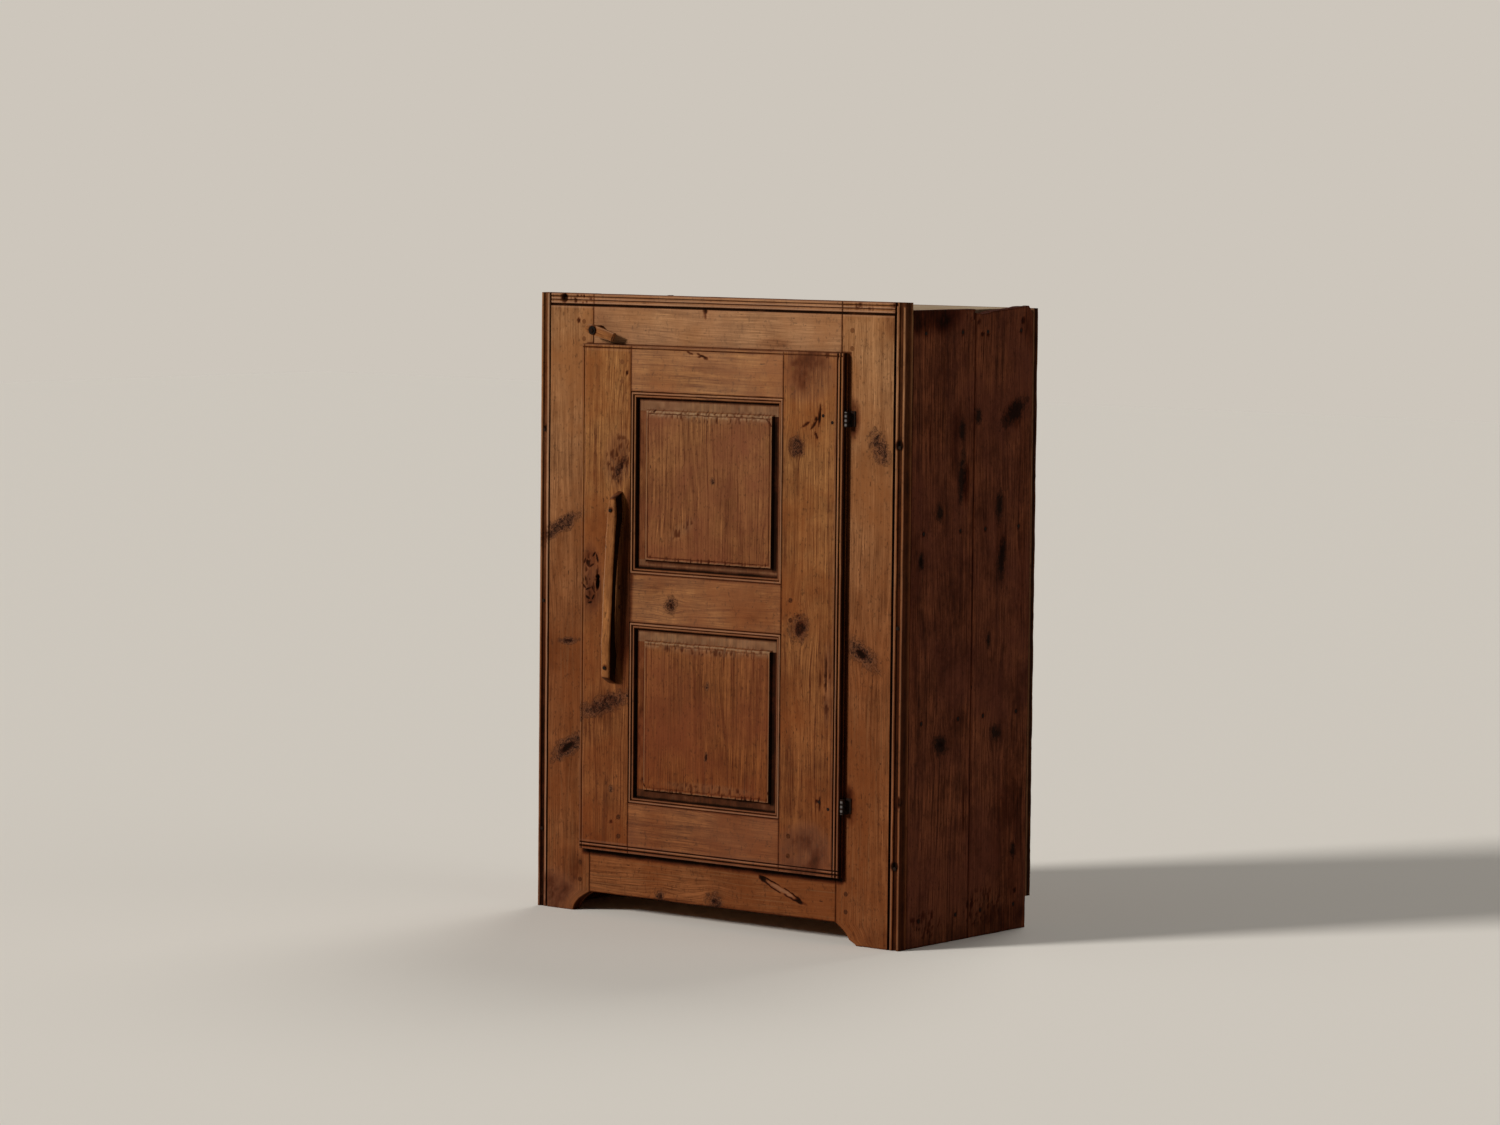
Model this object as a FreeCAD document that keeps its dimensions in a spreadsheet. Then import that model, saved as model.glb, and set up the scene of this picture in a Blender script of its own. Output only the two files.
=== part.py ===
"""Jelly cupboard of old pine: a nailed board carcass, a pegged face frame and one panelled door.

Millimetres. +X is to the right, +Y to the back, +Z up. The origin is on the floor, under the
middle of the cupboard's box, and the door faces -Y. Every driving size is a plain number in the
sheet "Sizes"; the sheet "Places" works out from them where the pieces meet.
"""
import FreeCAD, Part
import os
import re
import Sketcher
from FreeCAD import Placement, Rotation, Vector

doc = FreeCAD.newDocument("jelly_cupboard")

# ---------------------------------------------------------------------------------------------
# Driving sizes
# ---------------------------------------------------------------------------------------------
SIZES = {
    # carcass
    "width": 660.0,
    "height": 900.0,
    "depth": 318.0,               # from the frame's front to the back boards' rear
    "side_thickness": 16.0,
    "side_front_width": 147.0,    # front board of each side
    "side_drop": 11.0,            # the sides end this far below the frame's top
    "waney_seam": 5.6,            # the rear board's top edge below the front board's, at the seam
    "waney_dip": 7.0,             # the same at its lowest place
    "waney_place": 15.0,          # from the seam to that lowest place
    "waney_shoulder": 2.3,        # the same where the hollow ends
    "waney_run": 60.0,            # how far the hollow reaches from the seam
    "waney_rise": 3.0,            # the edge's height over the front board, at the back
    "waney_corner": 11.0,         # worn rear corner
    "top_drop": 12.0,             # top boards below the frame's top
    "top_thickness": 20.0,
    "bottom_lift": 48.0,          # bottom boards above the floor
    "bottom_thickness": 18.0,
    "board_front_width": 150.0,   # front board of the top and of the bottom
    "board_gap": 0.6,             # shrinkage gap between neighbouring boards
    "back_thickness": 12.0,
    "back_lift": 45.0,            # back boards end this far above the floor
    "shelf_thickness": 18.0,
    "shelf_low": 325.0,           # underside of the lower shelf
    "shelf_high": 590.0,          # underside of the upper shelf
    "shelf_gap": 1.0,             # between a shelf's end and the side
    "cleat_size": 22.0,
    # face frame
    "frame_thickness": 18.0,
    "stile_left_width": 100.0,
    "stile_right_width": 110.0,
    "top_rail_height": 82.0,
    "bottom_rail_height": 74.0,
    "bottom_rail_lift": 30.0,     # underside of the bottom rail above the floor
    "foot_left_width": 69.0,
    "foot_right_width": 74.0,
    "foot_hollow": 5.0,           # how far the feet's curves bow into the wood
    "frame_tenon_length": 60.0,
    "frame_tenon_height": 44.0,
    "frame_tenon_thickness": 6.0,
    "frame_tenon_shoulder": 7.0,
    "frame_peg_inset": 18.0,
    "frame_peg_spacing": 25.0,
    "tenon_gap": 0.1,             # clearance of a tenon in its mortise
    "mortise_spare": 2.0,         # depth of a mortise beyond its tenon
    "peg_radius": 3.5,
    # moulding scratched along the frame's outer edges
    "outer_bead": 5.5,
    "bead_hollow": 4.5,
    "inner_bead": 6.0,
    "bead_quirk": 2.5,
    "bead_depth": 2.75,
    "hollow_depth": 0.9,
    "frame_quirk_depth": 3.6,
    # door
    "lap_left": 11.0,             # the door's lip over the frame on each side
    "lap_right": 12.0,
    "lap_top": 10.0,
    "lap_bottom": 10.0,
    "lip_gap": 0.4,               # between the closed lip and the frame
    "lip_thickness": 11.6,
    "door_thickness": 22.0,
    "door_gap": 2.0,              # between the door's rebated part and the opening
    "door_stile_left": 92.0,
    "door_stile_right": 105.0,
    "door_top_rail": 66.0,
    "door_middle_rail": 70.0,
    "door_bottom_rail": 74.0,
    "upper_opening": 262.0,
    "door_tenon_length": 50.0,
    "door_tenon_height": 46.0,
    "door_tenon_edge": 15.0,
    "door_peg_inset": 17.0,
    "door_peg_spacing": 28.0,
    "edge_bead": 4.0,             # beads along the door's outer edges
    "edge_quirk": 1.4,
    "edge_depth": 1.8,
    "edge_quirk_depth": 2.2,
    "edge_arris": 0.45,           # worn corner between a quirk and the door's face
    "sticking_width": 9.0,        # reeded edge round each panel
    "reed_land": 0.75,            # flat between the seam and the outer reed
    "reed_depth": 1.2,
    "reed_step": 1.6,             # the inner reed lies this much deeper
    "groove_depth": 12.0,
    "panel_play": 1.5,            # room for a panel to swell in its groove
    "panel_gap": 0.1,             # between a panel's face and its groove
    "panel_thickness": 8.0,
    "border_depth": 7.0,          # a panel's flat border below the door's face
    "field_raise": 4.5,
    "field_margin_wide": 27.0,    # from stile or rail to the raised field, left and top
    "field_margin_narrow": 21.5,  # right and bottom
    "field_slope": 30.0,          # slope of the field's edges, in degrees
    "keyhole_inset": 31.0,        # from the door's left edge
    "keyhole_rise": 11.0,         # above the middle of the middle rail
    "keyhole_radius": 3.2,
    "keyhole_slot": 3.0,
    "keyhole_length": 16.0,
    # hinges
    "hinge_outset": 8.0,          # axis in front of the frame
    "hinge_offset": 4.5,          # axis beyond the door's edge
    "hinge_height": 21.6,
    "hinge_from_top": 92.0,
    "hinge_from_bottom": 101.0,
    "barrel_radius": 3.4,
    "knuckle_gap": 0.2,
    "pin_radius": 1.5,
    "pin_clearance": 0.05,
    "leaf_thickness": 1.6,
    "leaf_margin": 1.2,           # the leaves stand this much above and below the barrel
    "frame_leaf_width": 9.5,
    "door_leaf_length": 40.0,
    "kerf_gap": 0.1,
    "hinge_nail_radius": 1.2,
    "hinge_nail_head": 2.4,
    "frame_leaf_nail_edge": 3.2,  # nails of the frame's leaf, from its edge
    "frame_leaf_nail_rise": 7.0,  # and above and below its middle
    "door_leaf_nail_near": 18.0,  # nails of the door's leaf, from the door's edge
    "door_leaf_nail_far": 34.0,
    "door_leaf_nail_drop": 5.0,   # the near one below the leaf's middle
    "door_leaf_nail_rise": 4.0,   # the far one above it
    # pull handle
    "handle_length": 279.0,
    "handle_width": 17.0,
    "handle_stand": 22.0,
    "handle_gap": 10.0,           # finger gap behind the grip
    "handle_hollow": 190.0,       # length of the finger gap
    "handle_end_slant": 12.0,
    "handle_round": 3.5,
    "handle_lean": 2.2,           # degrees, top to the right
    "handle_inset": 68.0,         # from the door's left edge
    "handle_rise": 12.0,          # its middle above the middle of the middle rail
    "handle_nail_reach": 114.0,   # nails above and below the middle
    # turn button
    "button_length": 51.0,
    "button_width": 15.0,
    "button_thickness": 8.0,
    "button_overhang": 14.0,      # from the pivot to the rounded end
    "button_slant": 3.0,          # the sawn end is this much out of square
    "button_foot_radius": 7.0,
    "button_gap": 0.3,            # under the foot and under the washer
    "button_clearance": 0.6,      # between the button and the door's face
    "button_rise": 20.0,          # pivot above the door's top edge
    "button_inset": 26.0,         # pivot from the door's left edge
    "button_rest": 75.0,          # degrees from straight down, turned clear to the right
    "button_nail_radius": 1.6,
    "button_nail_clearance": 0.08,
    "button_nail_head": 2.9,
    "button_nail_knob": 1.6,      # height of its head
    "washer_radius": 6.2,
    "washer_thickness": 1.0,
    # nails
    "nail_radius": 1.4,
    "nail_head_radius": 2.6,
    "nail_head_thickness": 1.0,
    "nail_length": 36.0,
    "nail_cover": 4.0,            # wood left past the point of a nail in the door
    "back_nail_length": 30.0,
    "nail_edge": 30.0,            # nails keep this far from a board's edges
    "frame_nail_inset": 8.0,      # from the cupboard's corner
    "frame_nail_high": 700.0,
    "frame_nail_middle": 450.0,
    "frame_nail_low": 115.0,
}

# ---------------------------------------------------------------------------------------------
# Places: where the pieces meet, worked out from the sizes
# ---------------------------------------------------------------------------------------------
PLACES = {
    "left": "-width / 2",
    "right": "width / 2",
    "side_depth": "depth - frame_thickness - back_thickness",
    "reach": "lip_gap + lip_thickness + handle_stand",
    "frame_front": "(reach - depth) / 2",
    "frame_back": "frame_front + frame_thickness",
    "sides_back": "frame_back + side_depth",
    "rear": "sides_back + back_thickness",
    "inside_left": "left + side_thickness",
    "inside_right": "right - side_thickness",
    "side_top": "height - side_drop",
    "side_seam": "frame_back + side_front_width",
    "board_seam": "frame_back + board_front_width",
    "top_surface": "height - top_drop",
    "top_underside": "top_surface - top_thickness",
    "bottom_surface": "bottom_lift + bottom_thickness",
    "opening_left": "left + stile_left_width",
    "opening_right": "right - stile_right_width",
    "opening_bottom": "bottom_rail_lift + bottom_rail_height",
    "opening_top": "height - top_rail_height",
    "frame_tenon_front": "frame_front + (frame_thickness - frame_tenon_thickness) / 2",
    "frame_tenon_back": "frame_tenon_front + frame_tenon_thickness",
    "moulding_width": "outer_bead + bead_hollow + inner_bead + bead_quirk",
    "door_left": "opening_left - lap_left",
    "door_right": "opening_right + lap_right",
    "door_bottom": "opening_bottom - lap_bottom",
    "door_top": "opening_top + lap_top",
    "lip_back": "frame_front - lip_gap",
    "door_front": "lip_back - lip_thickness",
    "door_back": "door_front + door_thickness",
    "seam_left": "door_left + door_stile_left",
    "seam_right": "door_right - door_stile_right",
    "upper_top": "door_top - door_top_rail",
    "upper_bottom": "upper_top - upper_opening",
    "lower_top": "upper_bottom - door_middle_rail",
    "lower_bottom": "door_bottom + door_bottom_rail",
    "rail_middle": "(upper_bottom + lower_top) / 2",
    "groove_front": "door_front + border_depth",
    "groove_back": "groove_front + panel_thickness",
    "groove_reach": "groove_depth - sticking_width",
    "hinge_x": "door_right + hinge_offset",
    "hinge_y": "frame_front - hinge_outset",
    "hinge_upper": "door_top - hinge_from_top",
    "hinge_lower": "door_bottom + hinge_from_bottom",
    "keyhole_height": "rail_middle + keyhole_rise",
    "handle_x": "door_left + handle_inset",
    "handle_height": "rail_middle + handle_rise",
    "button_x": "door_left + button_inset",
    "button_z": "door_top + button_rise",
    "button_back": "door_front - button_clearance",
    "button_face": "button_back - button_thickness",
}

sizes = doc.addObject("Spreadsheet::Sheet", "Sizes")
places = doc.addObject("Spreadsheet::Sheet", "Places")
OWNER = {name: "Sizes." for name in SIZES}
OWNER.update({name: "Places." for name in PLACES})


def bound(text):
    """An expression in which every named size or place is given its sheet."""
    return re.sub(r"[a-z][a-z_]*", lambda word: OWNER.get(word[0], "") + word[0], text)


for row, (name, size) in enumerate(SIZES.items(), start=1):
    sizes.set(f"A{row}", name)
    sizes.set(f"B{row}", str(size))
    sizes.setAlias(f"B{row}", name)
doc.recompute()
for row, (name, text) in enumerate(PLACES.items(), start=1):
    places.set(f"A{row}", name)
    places.setAlias(f"B{row}", name)
for row, (name, text) in enumerate(PLACES.items(), start=1):
    places.set(f"B{row}", "=" + bound(text).replace("Places.", ""))
doc.recompute()


def number(text):
    """The present value of an expression."""
    return float(places.evalExpression(bound(text)))


# ---------------------------------------------------------------------------------------------
# Ways of making a piece
# ---------------------------------------------------------------------------------------------
NODES = {}
ALONG = {
    "back": Rotation(Vector(1, 0, 0), -90),
    "front": Rotation(Vector(1, 0, 0), 90),
    "right": Rotation(Vector(0, 1, 0), 90),
    "left": Rotation(Vector(0, 1, 0), -90),
    "up": Rotation(),
}
# How the same strip of moulding or sticking lies along each edge of a frame.
EDGE_TURN = {"left": 0, "top": 90, "right": 180, "bottom": -90}


def put(item, x, y, z, turn=None):
    """Place an object: a fixed turn, and a position bound to the sheets."""
    item.Placement = Placement(Vector(), turn or Rotation())
    for axis, text in zip("xyz", (x, y, z)):
        item.setExpression("Placement.Base." + axis, bound(text))
    return item


def node(name, item):
    """Keep an object as one of the cupboard's pieces."""
    item.Label = name
    NODES[name] = item
    return item


def board(name, x, y, z):
    """A squared piece of wood from one place to another along each axis."""
    item = doc.addObject("Part::Box", name)
    for side, (low, high) in zip(("Length", "Width", "Height"), (x, y, z)):
        item.setExpression(side, bound(f"({high}) - ({low})"))
    return put(item, x[0], y[0], z[0])


def rod(name, toward, place, radius, length):
    """A round bar that starts at a place and runs toward one side."""
    item = doc.addObject("Part::Cylinder", name)
    item.setExpression("Radius", bound(radius))
    item.setExpression("Height", bound(length))
    return put(item, *place, turn=ALONG[toward])


def joined(name, pieces):
    """Several shapes as one; those that don't touch stay separate solids."""
    item = doc.addObject("Part::MultiFuse", name)
    item.Shapes = pieces
    item.Refine = True
    return item


def without(name, base, tools):
    """A shape with other shapes cut out of it."""
    item = doc.addObject("Part::Cut", name)
    item.Base = base
    item.Tool = tools[0] if len(tools) == 1 else joined(name + "_cuts", tools)
    return item


def nails(name, toward, spots, length, radius="nail_radius", head="nail_head_radius"):
    """Nails of one kind, driven flush at each spot."""
    bars = []
    for index, spot in enumerate(spots):
        bars.append(rod(f"{name}_shank_{index}", toward, spot, radius, length))
        bars.append(rod(f"{name}_head_{index}", toward, spot, head, "nail_head_thickness"))
    return joined(name, bars)


def plane(body, role):
    """One of a body's own origin planes."""
    return next(item for item in body.Origin.OriginFeatures if item.Role == role)


def outline(body, name, role, corners):
    """A closed sketch. A corner is (x, y), or (x, y, bulge) where an arc leads to the next one;
    the bulge is the arc's height over its chord, positive on the right of the way along."""
    sketch = body.newObject("Sketcher::SketchObject", name)
    sketch.AttachmentSupport = [(plane(body, role), "")]
    sketch.MapMode = "FlatFace"
    spots = [Vector(number(corner[0]), number(corner[1]), 0) for corner in corners]
    starts = []
    for index, corner in enumerate(corners):
        here, there = spots[index], spots[(index + 1) % len(spots)]
        if len(corner) == 2:
            edge = sketch.addGeometry(Part.LineSegment(here, there), False)
            starts.append((edge, 1, 2))
            continue
        chord = there - here
        aside = Vector(chord.y, -chord.x, 0).normalize() * number(corner[2])
        arc = Part.Arc(here, (here + there) / 2 + aside, there)
        edge = sketch.addGeometry(arc, False)
        forward = sketch.getPoint(edge, 1).distanceToPoint(here) < 1e-6
        starts.append((edge, 1, 2) if forward else (edge, 2, 1))
    for index, (edge, first, last) in enumerate(starts):
        after, after_first, _ = starts[(index + 1) % len(starts)]
        sketch.addConstraint(Sketcher.Constraint("Coincident", edge, last, after, after_first))
    for index, (edge, first, _) in enumerate(starts):
        corner = corners[index]
        for kind, axis, text in (("DistanceX", -2, corner[0]), ("DistanceY", -1, corner[1])):
            if text == "0":
                sketch.addConstraint(Sketcher.Constraint("PointOnObject", edge, first, axis))
                continue
            value = number(text)
            mark = sketch.addConstraint(Sketcher.Constraint(kind, -1, 1, edge, first, value))
            sketch.setExpression(f"Constraints[{mark}]", bound(text))
        if len(corner) == 3:
            nxt = corners[(index + 1) % len(corners)]
            run = f"(({nxt[0]}) - ({corner[0]}))^2 + (({nxt[1]}) - ({corner[1]}))^2"
            rise = f"abs({corner[2]})"
            radius = f"({run}) / (8 * {rise}) + {rise} / 2"
            mark = sketch.addConstraint(Sketcher.Constraint("Radius", edge, number(radius)))
            sketch.setExpression(f"Constraints[{mark}]", bound(radius))
    return sketch


def circle(body, name, radius):
    """A sketch of one circle about the body's own origin, seen from the front."""
    sketch = body.newObject("Sketcher::SketchObject", name)
    sketch.AttachmentSupport = [(plane(body, "XZ_Plane"), "")]
    sketch.MapMode = "FlatFace"
    ring = sketch.addGeometry(Part.Circle(Vector(), Vector(0, 0, 1), number(radius)), False)
    sketch.addConstraint(Sketcher.Constraint("Coincident", ring, 3, -1, 1))
    mark = sketch.addConstraint(Sketcher.Constraint("Radius", ring, number(radius)))
    sketch.setExpression(f"Constraints[{mark}]", bound(radius))
    return sketch


def pad(body, name, sketch, length, reverse=False, middle=False):
    """Thicken a sketch."""
    item = body.newObject("PartDesign::Pad", name)
    item.Profile = sketch
    item.setExpression("Length", bound(length))
    item.Reversed = reverse
    item.Midplane = middle
    return item


def pocket(body, name, sketch, length, reverse=False, middle=False):
    """Cut a sketch out of a body to a depth."""
    item = body.newObject("PartDesign::Pocket", name)
    item.Profile = sketch
    item.setExpression("Length", bound(length))
    item.Reversed = reverse
    item.Midplane = middle
    return item


# ---------------------------------------------------------------------------------------------
# Mouldings, as the wood that the plane takes away
# ---------------------------------------------------------------------------------------------
CLEAR = "2"                        # how far a cutter starts outside the wood
THROUGH = "4 * door_thickness"     # a cut that passes right through a piece
BEAD_ROUND = "0.98"                # a bead's arc, as a share of a half circle


def frame_moulding(name, edge, x, z, length):
    """Outer bead, hollow, inner bead and quirk along one edge of the face frame."""
    body = doc.addObject("PartDesign::Body", name)
    corners = [
        ("-" + CLEAR, "-" + CLEAR),
        ("moulding_width", "-" + CLEAR),
        ("moulding_width", "0"),
        ("moulding_width - bead_quirk / 2", "frame_quirk_depth"),
        ("moulding_width - bead_quirk", "bead_depth", "-bead_depth"),
        ("outer_bead + bead_hollow", "bead_depth", "hollow_depth"),
        ("outer_bead", "bead_depth", f"-bead_depth * {BEAD_ROUND}"),
        ("0", "bead_depth"),
        ("-" + CLEAR, "bead_depth"),
    ]
    sketch = outline(body, name + "_section", "XY_Plane", corners)
    pad(body, name + "_run", sketch, length)
    return put(body, x, "frame_front", z, Rotation(Vector(0, 1, 0), EDGE_TURN[edge]))


def door_moulding(name, edge, x, z, length, beads):
    """One bead or two along one edge of the door, each with its quirk."""
    body = doc.addObject("PartDesign::Body", name)
    pitch = "(edge_bead + edge_quirk)"
    corners = [("-" + CLEAR, "-" + CLEAR), (f"{beads} * {pitch}", "-" + CLEAR)]
    for count in range(beads, 0, -1):
        corners.append((f"{count} * {pitch}", "edge_arris"))
        corners.append((f"{count} * {pitch} - edge_quirk / 2", "edge_quirk_depth"))
        corners.append((f"{count} * {pitch} - edge_quirk", "edge_depth",
                        f"-edge_depth * {BEAD_ROUND}"))
    corners.append(("0", "edge_depth"))
    corners.append(("-" + CLEAR, "edge_depth"))
    sketch = outline(body, name + "_section", "XY_Plane", corners)
    pad(body, name + "_run", sketch, length)
    return put(body, x, "door_front", z, Rotation(Vector(0, 1, 0), EDGE_TURN[edge]))


def sticking(name, edge, x, z, length):
    """Reeded inner edge of a stile or rail: two reeds, the inner one deeper, mitred at both ends.
    Its outer side, at 0, joins the wood."""
    body = doc.addObject("PartDesign::Body", name)
    reed = "sticking_width / 2"
    corners = [
        ("0", "0"),
        ("reed_land", "reed_depth", "reed_depth"),
        (reed, "reed_depth"),
        (reed, "reed_depth + reed_step", "reed_depth"),
        ("sticking_width", "reed_depth + reed_step"),
        ("sticking_width", "door_thickness"),
        ("0", "door_thickness"),
    ]
    sketch = outline(body, name + "_section", "XY_Plane", corners)
    pad(body, name + "_run", sketch, length)
    reach = f"sticking_width + {CLEAR}"
    low = [("0", "0"), (reach, "0"), (reach, reach)]
    high = [("0", length), (reach, f"({length}) - ({reach})"), (reach, length)]
    for end, corners in (("low", low), ("high", high)):
        mitre = outline(body, f"{name}_{end}_mitre", "XZ_Plane", corners)
        pocket(body, f"{name}_{end}_cut", mitre, THROUGH, middle=True)
    return put(body, x, "door_front", z, Rotation(Vector(0, 1, 0), EDGE_TURN[edge]))


# ---------------------------------------------------------------------------------------------
# Pegs and nails
# ---------------------------------------------------------------------------------------------
def pegs(name, x_places, z_places, spacing, front, length):
    """Pegs in pairs, one above the other, through each joint."""
    bars = []
    for x in x_places:
        for z in z_places:
            for side in ("-", "+"):
                height = f"{z} {side} {spacing} / 2"
                bars.append(rod(f"{name}_{len(bars)}", "back", (x, front, height),
                                "peg_radius", length))
    return node(name, joined(name, bars))


top_tenon_low = "opening_top + frame_tenon_shoulder"
bottom_tenon_low = "bottom_rail_lift + frame_tenon_shoulder"
frame_pegs = pegs(
    "frame_pegs",
    ("opening_left - frame_peg_inset", "opening_right + frame_peg_inset"),
    (f"{bottom_tenon_low} + frame_tenon_height / 2", f"{top_tenon_low} + frame_tenon_height / 2"),
    "frame_peg_spacing", "frame_front", "frame_thickness")

door_tenons = {
    "top": "door_top - door_tenon_edge - door_tenon_height",
    "middle": "rail_middle - door_tenon_height / 2",
    "bottom": "door_bottom + door_tenon_edge",
}
door_pegs = pegs(
    "door_pegs",
    ("seam_left - door_peg_inset", "seam_right + door_peg_inset"),
    [f"{low} + door_tenon_height / 2" for low in door_tenons.values()],
    "door_peg_spacing", "door_front", "door_thickness")

frame_nails = node("frame_nails", nails("frame_nails", "back", [
    (x, "frame_front", z)
    for x in ("left + frame_nail_inset", "right - frame_nail_inset")
    for z in ("frame_nail_low", "frame_nail_middle", "frame_nail_high")
], "nail_length"))

cleat_height = {
    "bottom": "bottom_lift",
    "lower_shelf": "shelf_low",
    "upper_shelf": "shelf_high",
    "top": "top_underside",
}
nail_rows = ("frame_back + nail_edge", "side_seam - nail_edge",
             "side_seam + nail_edge", "sides_back - nail_edge")
side_nails = {}
for side, toward, face in (("left", "right", "left"), ("right", "left", "right")):
    spots = [(face, y, f"{top} - cleat_size / 2") for top in cleat_height.values() for y in nail_rows]
    name = f"side_nails_{side}"
    side_nails[side] = node(name, nails(name, toward, spots, "nail_length"))

BACK_BOARDS = 4
back_nails = node("back_nails", nails("back_nails", "front", [
    (f"left + width * {column + 0.5} / {BACK_BOARDS} {shift} nail_edge", "rear", z)
    for column in range(BACK_BOARDS) for shift in ("-", "+")
    for z in ("bottom_lift + bottom_thickness / 2", "top_underside + top_thickness / 2")
], "back_nail_length"))

hinge_heights = {"upper": "hinge_upper", "lower": "hinge_lower"}
hinge_frame_nails = node("hinge_frame_nails", nails("hinge_frame_nails", "back", [
    ("hinge_x + frame_leaf_width - frame_leaf_nail_edge", "frame_front - leaf_thickness",
     f"{z} {shift} frame_leaf_nail_rise")
    for z in hinge_heights.values() for shift in ("-", "+")
], "nail_length / 2", "hinge_nail_radius", "hinge_nail_head"))
hinge_door_nails = node("hinge_door_nails", nails("hinge_door_nails", "back", [
    (f"door_right - {inset}", "door_front", f"{z} {step}")
    for z in hinge_heights.values()
    for inset, step in (("door_leaf_nail_near", "- door_leaf_nail_drop"),
                        ("door_leaf_nail_far", "+ door_leaf_nail_rise"))
], "door_thickness - nail_cover", "hinge_nail_radius", "hinge_nail_head"))
handle_nails = node("handle_nails", nails("handle_nails", "back", [
    (f"handle_x {side} handle_nail_reach * sin(handle_lean * 1 deg)",
     "door_front - handle_stand",
     f"handle_height {side} handle_nail_reach * cos(handle_lean * 1 deg)")
    for side in ("+", "-")
], "handle_stand + door_thickness - nail_cover"))

# ---------------------------------------------------------------------------------------------
# Face frame
# ---------------------------------------------------------------------------------------------
cut_height = f"height + 2 * {CLEAR}"
left_moulding = frame_moulding("moulding_left", "left", "left", "-" + CLEAR, cut_height)
right_moulding = frame_moulding("moulding_right", "right", "right", f"height + {CLEAR}", cut_height)
top_moulding = frame_moulding("moulding_top", "top", "left + moulding_width", "height",
                              "width - 2 * moulding_width")


def foot_cut(name, toe, seam, bow):
    """The curve from a foot's toe up to the rail's underside, as the wood sawn away."""
    body = doc.addObject("PartDesign::Body", name)
    corners = [
        (toe, "0", bow),
        (seam, "bottom_rail_lift"),
        (seam, "-" + CLEAR),
        (toe, "-" + CLEAR),
    ]
    sketch = outline(body, name + "_curve", "XZ_Plane", corners)
    pad(body, name + "_run", sketch, f"frame_thickness + 2 * {CLEAR}", reverse=True)
    return put(body, "0", f"frame_front - {CLEAR}", "0")


def mortise(name, x, low, height, front, back):
    """A hole for one tenon, wider than it by the clearance."""
    return board(name, x, (f"{front} - tenon_gap", f"{back} + tenon_gap"),
                 (f"{low} - tenon_gap", f"{low} + {height} + tenon_gap"))


frame_tenons = {"top": top_tenon_low, "bottom": bottom_tenon_low}
foot_ends = {
    "left": ("left + foot_left_width", "opening_left", "-foot_hollow"),
    "right": ("right - foot_right_width", "opening_right", "foot_hollow"),
}
stile_places = {"left": ("left", "opening_left"), "right": ("opening_right", "right")}
mortise_reach = "frame_tenon_length + mortise_spare"
mortise_places = {
    "left": (f"opening_left - ({mortise_reach})", "opening_left"),
    "right": ("opening_right", f"opening_right + {mortise_reach}"),
}
for side, (low, high) in stile_places.items():
    name = f"frame_stile_{side}"
    blank = board(name + "_blank", (low, high), ("frame_front", "frame_back"), ("0", "height"))
    tools = [left_moulding if side == "left" else right_moulding, top_moulding]
    tools.append(foot_cut(f"foot_cut_{side}", *foot_ends[side]))
    for rail, tenon_low in frame_tenons.items():
        tools.append(mortise(f"{name}_{rail}_mortise", mortise_places[side], tenon_low,
                             "frame_tenon_height", "frame_tenon_front", "frame_tenon_back"))
    tools += [frame_pegs, frame_nails]
    if side == "right":
        tools.append(hinge_frame_nails)
    node(name, without(name, blank, tools))

rail_heights = {"top": ("opening_top", "height"), "bottom": ("bottom_rail_lift", "opening_bottom")}
for rail, (low, high) in rail_heights.items():
    name = f"frame_rail_{rail}"
    between = board(name + "_board", ("opening_left", "opening_right"),
                    ("frame_front", "frame_back"), (low, high))
    tenon = board(name + "_tenons",
                  ("opening_left - frame_tenon_length", "opening_right + frame_tenon_length"),
                  ("frame_tenon_front", "frame_tenon_back"),
                  (frame_tenons[rail], f"{frame_tenons[rail]} + frame_tenon_height"))
    tools = [frame_pegs]
    if rail == "top":
        tools.append(top_moulding)
        pivot = ("button_x", f"frame_front - {CLEAR}", "button_z")
        tools.append(rod("button_nail_hole", "back", pivot, "button_nail_radius",
                         f"frame_thickness + 2 * {CLEAR}"))
    node(name, without(name, joined(name + "_blank", [between, tenon]), tools))

# ---------------------------------------------------------------------------------------------
# Carcass boards
# ---------------------------------------------------------------------------------------------
side_faces = {"left": ("left", "inside_left"), "right": ("inside_right", "right")}


def rear_side_board(name, face):
    """Rear board of a side. Its top edge is waney: it dips at the seam, rises toward the back and
    ends in a worn corner."""
    body = doc.addObject("PartDesign::Body", name + "_board")
    corners = [
        ("side_seam + board_gap", "0"),
        ("sides_back", "0"),
        ("sides_back", "side_top + waney_rise - waney_corner", "waney_corner / 4"),
        ("sides_back - waney_corner", "side_top + waney_rise"),
        ("side_seam + board_gap + waney_run", "side_top - waney_shoulder"),
        ("side_seam + board_gap + waney_place", "side_top - waney_dip"),
        ("side_seam + board_gap", "side_top - waney_seam"),
    ]
    sketch = outline(body, name + "_outline", "YZ_Plane", corners)
    pad(body, name + "_run", sketch, "side_thickness")
    return put(body, face, "0", "0")


for side, face in side_faces.items():
    name = f"side_board_{side}_front"
    blank = board(name + "_board", face, ("frame_back", "side_seam"), ("0", "side_top"))
    node(name, without(name, blank, [side_nails[side], frame_nails]))
    name = f"side_board_{side}_rear"
    node(name, without(name, rear_side_board(name, face[0]), [side_nails[side]]))

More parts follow.
